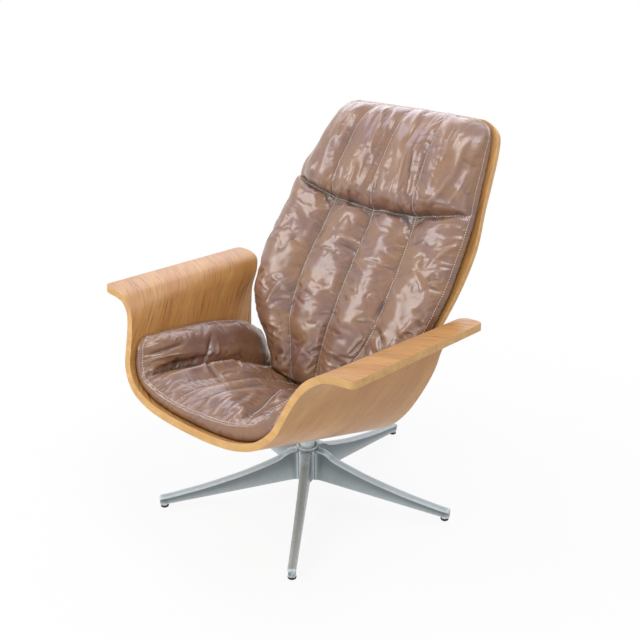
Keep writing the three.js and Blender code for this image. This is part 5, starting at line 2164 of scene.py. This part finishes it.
@dataclass
class CastBase:
    """The five-legged casting: legs with a thin flat top flange over a web, joined at a turned hub."""

    legs: int = 5
    turn_degrees: float = 1
    reach: float = 376.5
    glide_circle: float = 365
    width_at_hub: float = 23
    width_at_tip: float = 19.5
    flange: float = 3.6
    lip: float = 1.5
    root_height: float = 120
    tip_height: float = 28.5
    tip_underside: float = 7.5
    tip_round: float = 5
    root_flare: float = 4.5
    root_flare_reach: float = 13
    hub_radius: float = 29
    collar_radius: float = 26.8
    collar_height: float = 8.5
    hub_top: float = 128
    bore: float = 16.4
    recess_radius: float = 22
    recess_depth: float = 3.6
    hub_foot: float = 37
    foot_recess: float = 8
    boss_radius: float = 9.4
    socket_radius: float = 4.3
    socket_top: float = 14.9
    boss_low: float = 6.9
    boss_top: float = 12.5
    cut_top: float = 140
    smooth_degrees: float = 38
    tip_shares: tuple = (1, 0.75, 0.5, 0.3, 0.15, 0.05, 0)
    top_shares: tuple = ((0, 1), (0.03, 0.998), (0.07, 0.978), (0.106, 0.913), (0.15, 0.792), (0.213, 0.69),
                         (0.314, 0.555), (0.416, 0.43), (0.54, 0.31), (0.68, 0.187), (0.82, 0.09),
                         (0.95, 0.012), (1, 0))

    def build(self, finishes: Finishes) -> None:
        """Makes and dresses the casting.

        Args:
            finishes: The chair's finishes.
        """
        collar, top = self.hub_top - self.collar_height, self.hub_top
        wide, narrow, foot = self.hub_radius, self.collar_radius, self.hub_foot
        hub = self._turned("hub", [(wide - 1.5, foot), (wide, foot + 1.5), (wide, collar - 2.2),
                                   (narrow + 0.6, collar), (narrow, collar + 0.8), (narrow, top - 1.2),
                                   (narrow - 0.4, top - 0.4), (narrow - 1.2, top)])
        legs = range(self.legs)
        joined = [self._leg(index) for index in legs]
        joined += [self._at_glide("boss", self.boss_radius, self.boss_low, self.boss_top, 32, index)
                   for index in legs]
        removed = [self._drum("bore", self.bore, 0, self.cut_top),
                   self._drum("recess", self.recess_radius, top - self.recess_depth, self.cut_top),
                   self._drum("foot", self.recess_radius, 0, self.hub_foot + self.foot_recess)]
        removed += [self._at_glide("socket", self.socket_radius, 0, self.socket_top, 24, index)
                    for index in legs]
        for others, how in ((joined, "UNION"), (removed, "DIFFERENCE")):
            for other in others:
                self._combine(hub, other, how)
        hub.name = hub.data.name = "base_star"
        hub.data.materials.clear()
        finishes.dress(hub, finishes.by_slot[Slot.CAST_ALUMINIUM])
        hub.data.polygons.foreach_set("use_smooth", [True] * len(hub.data.polygons))
        hub.data.set_sharp_from_angle(angle=math.radians(self.smooth_degrees))
        settle(hub, Body.BASE, Slot.CAST_ALUMINIUM, "base_casting")

    def _drum(self, name: str, radius: float, low: float, high: float, sides: int = 72) -> Piece:
        """A plain round piece about the swivel axis."""
        return self._turned(name, [(radius, low), (radius, high)], sides)

    def _turned(self, name: str, profile: list, sides: int = 72) -> Piece:
        """A turned piece about the swivel axis, flat at both ends.

        Args:
            name: The piece's name.
            profile: Pairs of radius and height.
            sides: Flats round the piece.

        Returns:
            The piece.
        """
        angle = np.arange(sides) / sides * 2 * math.pi
        points = [np.stack([np.cos(angle) * radius, np.sin(angle) * radius, np.full(sides, height)], -1)
                  for radius, height in profile]
        return new_piece(name, in_frame(np.concatenate(points)), tube_faces(len(profile), sides))

    def _turn(self, index: int) -> float:
        """The angle of a leg from -Y."""
        return (index + 0.5) / self.legs * 2 * math.pi + math.radians(self.turn_degrees)

    def _at_glide(self, name: str, radius: float, low: float, high: float, sides: int,
                  index: int) -> Piece:
        """A plain round piece under a leg's tip.

        Args:
            name: The piece's name.
            radius: Its radius.
            low: Height of its foot.
            high: Height of its top.
            sides: Flats round it.
            index: The leg's number.

        Returns:
            The piece.
        """
        piece = self._drum(name, radius, low, high, sides)
        angle = self._turn(index)
        offset = Vector((math.sin(angle), -math.cos(angle), 0)) * self.glide_circle * MILLIMETRE
        piece.data.transform(Matrix.Translation(offset))
        return piece

    def _leg(self, index: int) -> Piece:
        """One leg, lofted from rounded sections of its web and its top flange.

        Args:
            index: The leg's number.

        Returns:
            The leg.
        """
        root = self.bore + 2
        length = self.reach - root
        tips = np.array(self.tip_shares) * self.tip_round
        places = np.concatenate([np.linspace(0, 0.3, 34), np.linspace(0.3, 1 - 6 / length, 40)[1:],
                                 1 - tips / length])
        sections = []
        for place, rise in zip(places, read_smooth(self.top_shares, places, 600)):
            radius = root + place * length
            low = blend_between(self.hub_foot, self.tip_underside, place)
            draw = self.tip_round * (1 - float(rolled(np.array(self.reach - radius), self.tip_round)))
            top = blend_between(self.tip_height, self.root_height, rise) - draw
            half = (blend_between(self.width_at_hub, self.width_at_tip, place) - draw) / 2
            from_hub = np.array(max(radius - self.hub_radius, 0))
            flare = self.root_flare * (1 - float(rolled(from_hub, self.root_flare_reach)))
            web, lip, low = half - self.lip + flare, top - self.flange, low + draw / 2
            side = [(web - 1.8, low), (web - 0.6, low + 0.5), (web, low + 1.8), (web, lip - self.lip - 1.0),
                    (web + 0.25, lip - self.lip * 0.6), (half - 0.5, lip - 0.25), (half, lip + 0.4),
                    (half, top - 1.3), (half - 0.35, top - 0.4), (half - 1.2, top)]
            outline = [(0.0, low)] + side + [(0.0, top + 0.25)] + [(-x, z) for x, z in side[::-1]]
            sections.append([(x, -radius, z) for x, z in outline])
        points = np.array(sections)
        faces = tube_faces(len(places), points.shape[1])
        cosine, sine = math.cos(self._turn(index)), math.sin(self._turn(index))
        turn = np.array([[cosine, -sine, 0], [sine, cosine, 0], [0, 0, 1]])
        return new_piece(f"leg_{index}", in_frame(points.reshape(-1, 3) @ turn.T), faces)

    @staticmethod
    def _combine(piece: Piece, other: Piece, how: str) -> None:
        """Adds or cuts one closed mesh and removes it.

        Args:
            piece: The piece that is changed.
            other: The mesh that is added or cut away.
            how: UNION or DIFFERENCE.
        """
        step = piece.modifiers.new("combine", "BOOLEAN")
        step.operation, step.object, step.solver = how, other, "EXACT"
        made = bpy.data.meshes.new_from_object(piece.evaluated_get(bpy.context.evaluated_depsgraph_get()))
        piece.modifiers.clear()
        piece.data = made
        bpy.data.objects.remove(other)


@dataclass
class RockerSprings:
    """The four coil springs between the rocker yoke and the tilt plate, made at rest; on the chair they bend
    as the seat rocks.
    """

    pivot: tuple = (0, 0, 172)
    lean_degrees: float = 16.53
    coil_radius: float = 9.3
    wire: float = 3.4
    turns: int = 5
    steps_per_turn: int = 28
    sides: int = 12
    places: tuple = ((-20, -45), (20, -45), (-20, 45), (20, 45))
    foot: float = -11.7
    closing: float = 0.3

    def build(self, finishes: Finishes) -> None:
        """Makes the springs and blends each between the yoke and the plate.

        Args:
            finishes: The chair's finishes.
        """
        lean = Matrix.Rotation(-math.radians(self.lean_degrees), 3, "X")
        back = np.array(lean.inverted())
        for number, (x, y) in enumerate(self.places, 1):
            node = f"spring_{number}"
            corners = np.array([tuple(vertex.co) for vertex in frame["nodes"][node].data.vertices])
            level = (in_forms(corners) - self.pivot) @ back.T
            low, high = level[:, 2].min() + self.wire / 2, level[:, 2].max() - self.wire / 2
            piece = self._coil(f"rocker_spring_{number}", x, y, low, high, np.array(lean))
            finishes.dress(piece, finishes.by_slot[Slot.SPRING_STEEL])
            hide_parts(node)
            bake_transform(piece)
            log.info("%s: %d faces", piece.name, len(piece.data.polygons))

    def _coil(self, name: str, x: float, y: float, low: float, high: float,
              lean: Array) -> Piece:
        """One coil of round wire with closed ends.

        Args:
            name: The piece's name.
            x: The coil's place across.
            y: The coil's place from front to rear.
            low: Height of the wire's first turn under the pivot's level frame.
            high: Height of its last turn.
            lean: How the coils lean with the seat at rest.

        Returns:
            The spring.
        """
        steps = self.turns * self.steps_per_turn
        share = np.linspace(0, 1, steps + 1)
        eased = share - self.closing * np.sin(2 * math.pi * share) / (2 * math.pi)
        angle = share * self.turns * 2 * math.pi
        outwards = np.stack([np.cos(angle), np.sin(angle), np.zeros_like(angle)], -1)
        centre = outwards * self.coil_radius
        centre[:, 2] = low + (high - low) * eased
        side = unit(np.cross(unit(np.gradient(centre, axis=0)), outwards))
        ring = round_sections(centre, self.wire / 2, outwards, side, self.sides)
        points = (ring + [x, y, 0]) @ lean.T + self.pivot
        return new_piece(name, in_frame(points), tube_faces(steps + 1, self.sides))


# The stage


@dataclass(frozen=True)
class Softbox:
    """A square area lamp that looks at the chair."""

    name: str
    position: tuple
    size: float
    power: float
    colour: tuple = (1.0, 1.0, 1.0)
    aim: tuple = (0.0, 0.0, 0.5)


@dataclass
class Studio:
    """The camera, the pale floor and the soft light."""

    camera_place: tuple = (1.4226, -1.5727, 1.3734)
    camera_target: tuple = (0.0240, -0.0052, 0.4695)
    lens: float = 53.9
    floor_half: float = 40.0
    lamps: tuple = (
        Softbox("key_softbox", (-2.2, -2.3, 2.4), 1.7, 50, (0.98, 0.99, 1.0)),
        Softbox("top_softbox", (0.9, -0.1, 3.2), 1.3, 32, (0.97, 0.98, 1.0)),
        Softbox("left_softbox", (-1.8, 0.1, 3.0), 1.1, 11, (0.70, 0.76, 1.0)),
        Softbox("rear_softbox", (-1.9, 2.1, 2.3), 2.0, 22, (0.80, 0.82, 1.0)),
        Softbox("far_softbox", (0.4, 2.4, 2.6), 1.6, 15, (0.84, 0.87, 1.0)),
        Softbox("low_softbox", (0.5, -2.4, 0.7), 0.9, 10, (0.93, 0.98, 1.0), (0.0, 0.0, 0.12)),
    )
    sky: float = 0.52
    paper_colour: tuple = (0.80, 0.80, 0.80, 1.0)
    paper_glow: tuple = (0.9, 1.0)
    paper_glow_reach: tuple = (0.5, 1.5)

    def build(self) -> None:
        """Sets up the whole stage."""
        self._camera()
        self._floor()
        self._world()
        for lamp in self.lamps:
            self._lamp(lamp)
        bpy.context.scene.view_settings.view_transform = "Standard"
        log.info("studio: camera, floor and %d lamps", len(self.lamps))

    def _camera(self) -> None:
        """The photograph's viewpoint."""
        data = bpy.data.cameras.new("photo_camera")
        data.lens, data.sensor_width = self.lens, 36.0
        data.clip_start, data.clip_end = 0.05, 200.0
        camera = bpy.data.objects.new("photo_camera", data)
        camera.location = self.camera_place
        aim = Vector(self.camera_target) - Vector(self.camera_place)
        camera.rotation_euler = aim.to_track_quat("-Z", "Y").to_euler()
        bpy.context.scene.collection.objects.link(camera)
        bpy.context.scene.camera = camera

    def _floor(self) -> None:
        """A white floor that keeps the chair's shadow."""
        half = self.floor_half
        corners = np.array([[-half, -half, 0], [half, -half, 0], [half, half, 0], [-half, half, 0]])
        floor = new_piece("studio_floor", corners, [[0, 1, 2, 3]], smooth=False)
        material, bench, shader, place = new_material("studio_paper")
        hands = handled(bench, place, self.paper_colour, 0.004)
        bench.feed_all(shader, {"Base Color": hands["Colour"], "Roughness": 0.9, "Specular IOR Level": 0.1})
        away = bench.add("ShaderNodeVectorMath", {0: place}, operation="LENGTH").outputs["Value"]
        glow = bench.spread(away, *self.paper_glow_reach, *self.paper_glow)
        share = bench.math("MULTIPLY", self._seen(bench), glow)
        white = bench.add("ShaderNodeEmission", {"Color": (1.0, 1.0, 1.0, 1.0), "Strength": 1.0})
        both = bench.add("ShaderNodeMixShader", {0: share, 1: shader.outputs[0], 2: white.outputs[0]})
        nodes = material.node_tree.nodes
        leave = next(node for node in nodes if node.bl_idname == "ShaderNodeOutputMaterial")
        bench.feed(leave.inputs["Surface"], both.outputs[0])
        floor.data.materials.append(material)

    def _world(self) -> None:
        """Even sky light, with white behind everything that the camera sees."""
        world = bpy.data.worlds.new("studio_world")
        bpy.context.scene.world = world
        world.use_nodes = True
        world.node_tree.nodes.clear()
        bench = NodeBench(world.node_tree)
        strength = bench.spread(self._seen(bench), 0, 1, self.sky, 1.0)
        sky = bench.add("ShaderNodeBackground", {"Color": (1.0, 1.0, 1.0, 1.0), "Strength": strength})
        bench.add("ShaderNodeOutputWorld", {"Surface": sky.outputs[0]})

    @staticmethod
    def _seen(bench: NodeBench) -> Socket:
        """One for rays that see the background by camera, mirror or glass, and zero for light on pieces."""
        rays = bench.add("ShaderNodeLightPath").outputs
        mirrored = bench.math("MAXIMUM", rays["Is Glossy Ray"], rays["Is Transmission Ray"])
        return bench.math("MAXIMUM", rays["Is Camera Ray"], mirrored)

    @staticmethod
    def _lamp(plan: Softbox) -> None:
        """Adds one softbox.

        Args:
            plan: The lamp's place, size, power and colour.
        """
        data = bpy.data.lights.new(plan.name, "AREA")
        data.shape, data.size, data.energy, data.color = "SQUARE", plan.size, plan.power, plan.colour
        lamp = bpy.data.objects.new(plan.name, data)
        lamp.location = plan.position
        aim = Vector(plan.aim) - Vector(plan.position)
        lamp.rotation_euler = aim.to_track_quat("-Z", "Y").to_euler()
        lamp.visible_camera = False
        bpy.context.scene.collection.objects.link(lamp)


BACK_FOLDS = (
    Fold(((-0.28, -0.21), (-0.10, -0.20), (0.06, -0.22)), 3.0, 6),
    Fold(((-0.22, -0.24), (-0.07, -0.24), (0.08, -0.27)), -3.0, 5),
    Fold(((-0.19, -0.27), (-0.06, -0.28)), 2.5, 6),
    Fold(((-0.77, -0.68), (-0.66, -0.57), (-0.56, -0.50)), 3.5, 5),
    Fold(((-0.80, -0.77), (-0.52, -0.76)), 2.5, 4),
    Fold(((-0.82, -0.81), (-0.56, -0.81)), 2.5, 4),
    Fold(((-0.99, -0.34), (-0.71, -0.26)), -1.5, 4),
    Fold(((0.78, -0.28), (0.88, -0.20), (0.97, -0.14)), 3.5, 7),
    Fold(((0.82, -0.31), (0.98, -0.28)), 3.0, 6),
    Fold(((0.84, -0.36), (0.97, -0.34)), 2.5, 5),
    Fold(((0.64, -0.29), (0.74, -0.34), (0.84, -0.41)), 2.0, 4),
    Fold(((0.80, -0.66), (0.86, -0.57), (0.91, -0.50)), 4.5, 9),
    Fold(((-0.05, -0.80), (-0.06, -0.69), (-0.03, -0.60)), 3.5, 9),
    Fold(((-0.07, -0.51), (-0.08, -0.42), (-0.07, -0.36)), 3.5, 9),
    Fold(((-0.54, -0.28), (-0.55, -0.20), (-0.54, -0.12)), 3.0, 10),
    Fold(((-0.33, -0.91), (-0.22, -0.81), (-0.12, -0.75)), 3.0, 8),
    Fold(((0.45, -0.56), (0.48, -0.51), (0.48, -0.46)), -3.5, 7),
    Fold(((-0.16, 0.60), (-0.21, 0.75), (-0.31, 0.92)), 4.0, 7),
    Fold(((-0.06, 0.67), (-0.10, 0.80), (-0.19, 0.95)), 3.5, 6),
    Fold(((0.30, 0.17), (0.28, 0.33), (0.26, 0.51)), 3.5, 5),
    Fold(((0.40, 0.10), (0.36, 0.34), (0.33, 0.56)), -3.0, 5),
    Fold(((0.48, 0.07), (0.45, 0.30), (0.43, 0.56)), 3.5, 6),
    Fold(((-0.26, 0.04), (-0.22, 0.17), (-0.23, 0.31)), 3.0, 4),
    Fold(((-0.01, 0.05), (0.01, 0.20), (0.01, 0.36)), 2.5, 4),
    Fold(((0.62, 0.06), (0.73, 0.18), (0.77, 0.34)), 3.0, 7),
    Fold(((0.81, 0.07), (0.87, 0.22), (0.90, 0.41)), 2.5, 5),
    Fold(((-0.52, 0.40), (-0.55, 0.60), (-0.60, 0.81)), 3.5, 8),
    Fold(((0.21, 0.63), (0.19, 0.77), (0.16, 0.94)), 3.5, 8),
)


SEAT_FOLDS = (
    Fold(((-0.34, 0.03), (-0.34, 0.20), (-0.37, 0.40), (-0.40, 0.62), (-0.42, 0.80)), 10.0, 17),
    Fold(((-0.42, 0.40), (-0.28, 0.39), (-0.15, 0.38)), -4.5, 7),
    Fold(((-0.40, 0.36), (-0.28, 0.35)), 3.0, 6),
    Fold(((-0.42, 0.66), (-0.27, 0.64)), 4.5, 6),
    Fold(((-0.10, 0.08), (-0.10, 0.20), (-0.11, 0.40), (-0.11, 0.60), (-0.14, 0.90)), 9.0, 11),
    Fold(((-0.22, 0.10), (-0.22, 0.30), (-0.24, 0.60)), -4.0, 12),
    Fold(((0.01, 0.03), (0.00, 0.12), (0.00, 0.25), (0.01, 0.42), (0.02, 0.60)), 6.5, 8),
    Fold(((-0.04, 0.10), (-0.04, 0.30), (-0.05, 0.60)), -4.0, 7),
    Fold(((0.10, 0.02), (0.09, 0.08), (0.06, 0.17), (0.04, 0.30)), 5.0, 6),
    Fold(((0.17, 0.04), (0.14, 0.13), (0.11, 0.25), (0.07, 0.34), (0.04, 0.42)), 5.0, 6),
    Fold(((0.24, 0.03), (0.21, 0.10), (0.17, 0.18)), 4.0, 6),
    Fold(((0.18, 0.40), (0.10, 0.55), (0.03, 0.70), (-0.02, 0.90)), 9.0, 11),
    Fold(((0.30, 0.38), (0.24, 0.50), (0.20, 0.62)), 7.0, 10),
    Fold(((-0.83, 0.25), (-0.81, 0.12), (-0.79, 0.02)), -4.0, 6),
    Fold(((-0.68, 0.02), (-0.71, 0.24)), 5.0, 8),
    Fold(((-0.87, 0.46), (-0.75, 0.43), (-0.60, 0.42), (-0.50, 0.42)), -6.0, 8),
    Fold(((-0.80, 0.50), (-0.60, 0.49)), 3.5, 7),
    Fold(((-0.55, 0.06), (-0.56, 0.25), (-0.57, 0.44)), -12.0, 24),
)


def main() -> None:
    """Builds the studio, then the chair from its shells to its springs, and dresses the CAD nodes that are
    carried over.
    """
    logging.basicConfig(level=logging.INFO, format="%(name)s %(message)s")
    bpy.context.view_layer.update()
    Studio().build()
    finishes = Finishes()
    seat_sheet, back_sheet = SeatSheet(), BackSheet()
    Shells(seat_sheet, back_sheet).build(finishes)
    SeatCushion("seat_pad", "seat_cushion", columns=141, rows=97, fill=0.7, seed=11, folds=SEAT_FOLDS,
                sheet=seat_sheet).build(finishes)
    BackCushion("back_pad", "back_cushion", columns=113, rows=151, fill=0.75, seed=41, folds=BACK_FOLDS,
                sheet=back_sheet).build(finishes)
    CastBase().build(finishes)
    RockerSprings().build(finishes)
    finishes.dress_nodes(frame["nodes"])


if __name__ == "__main__":
    main()
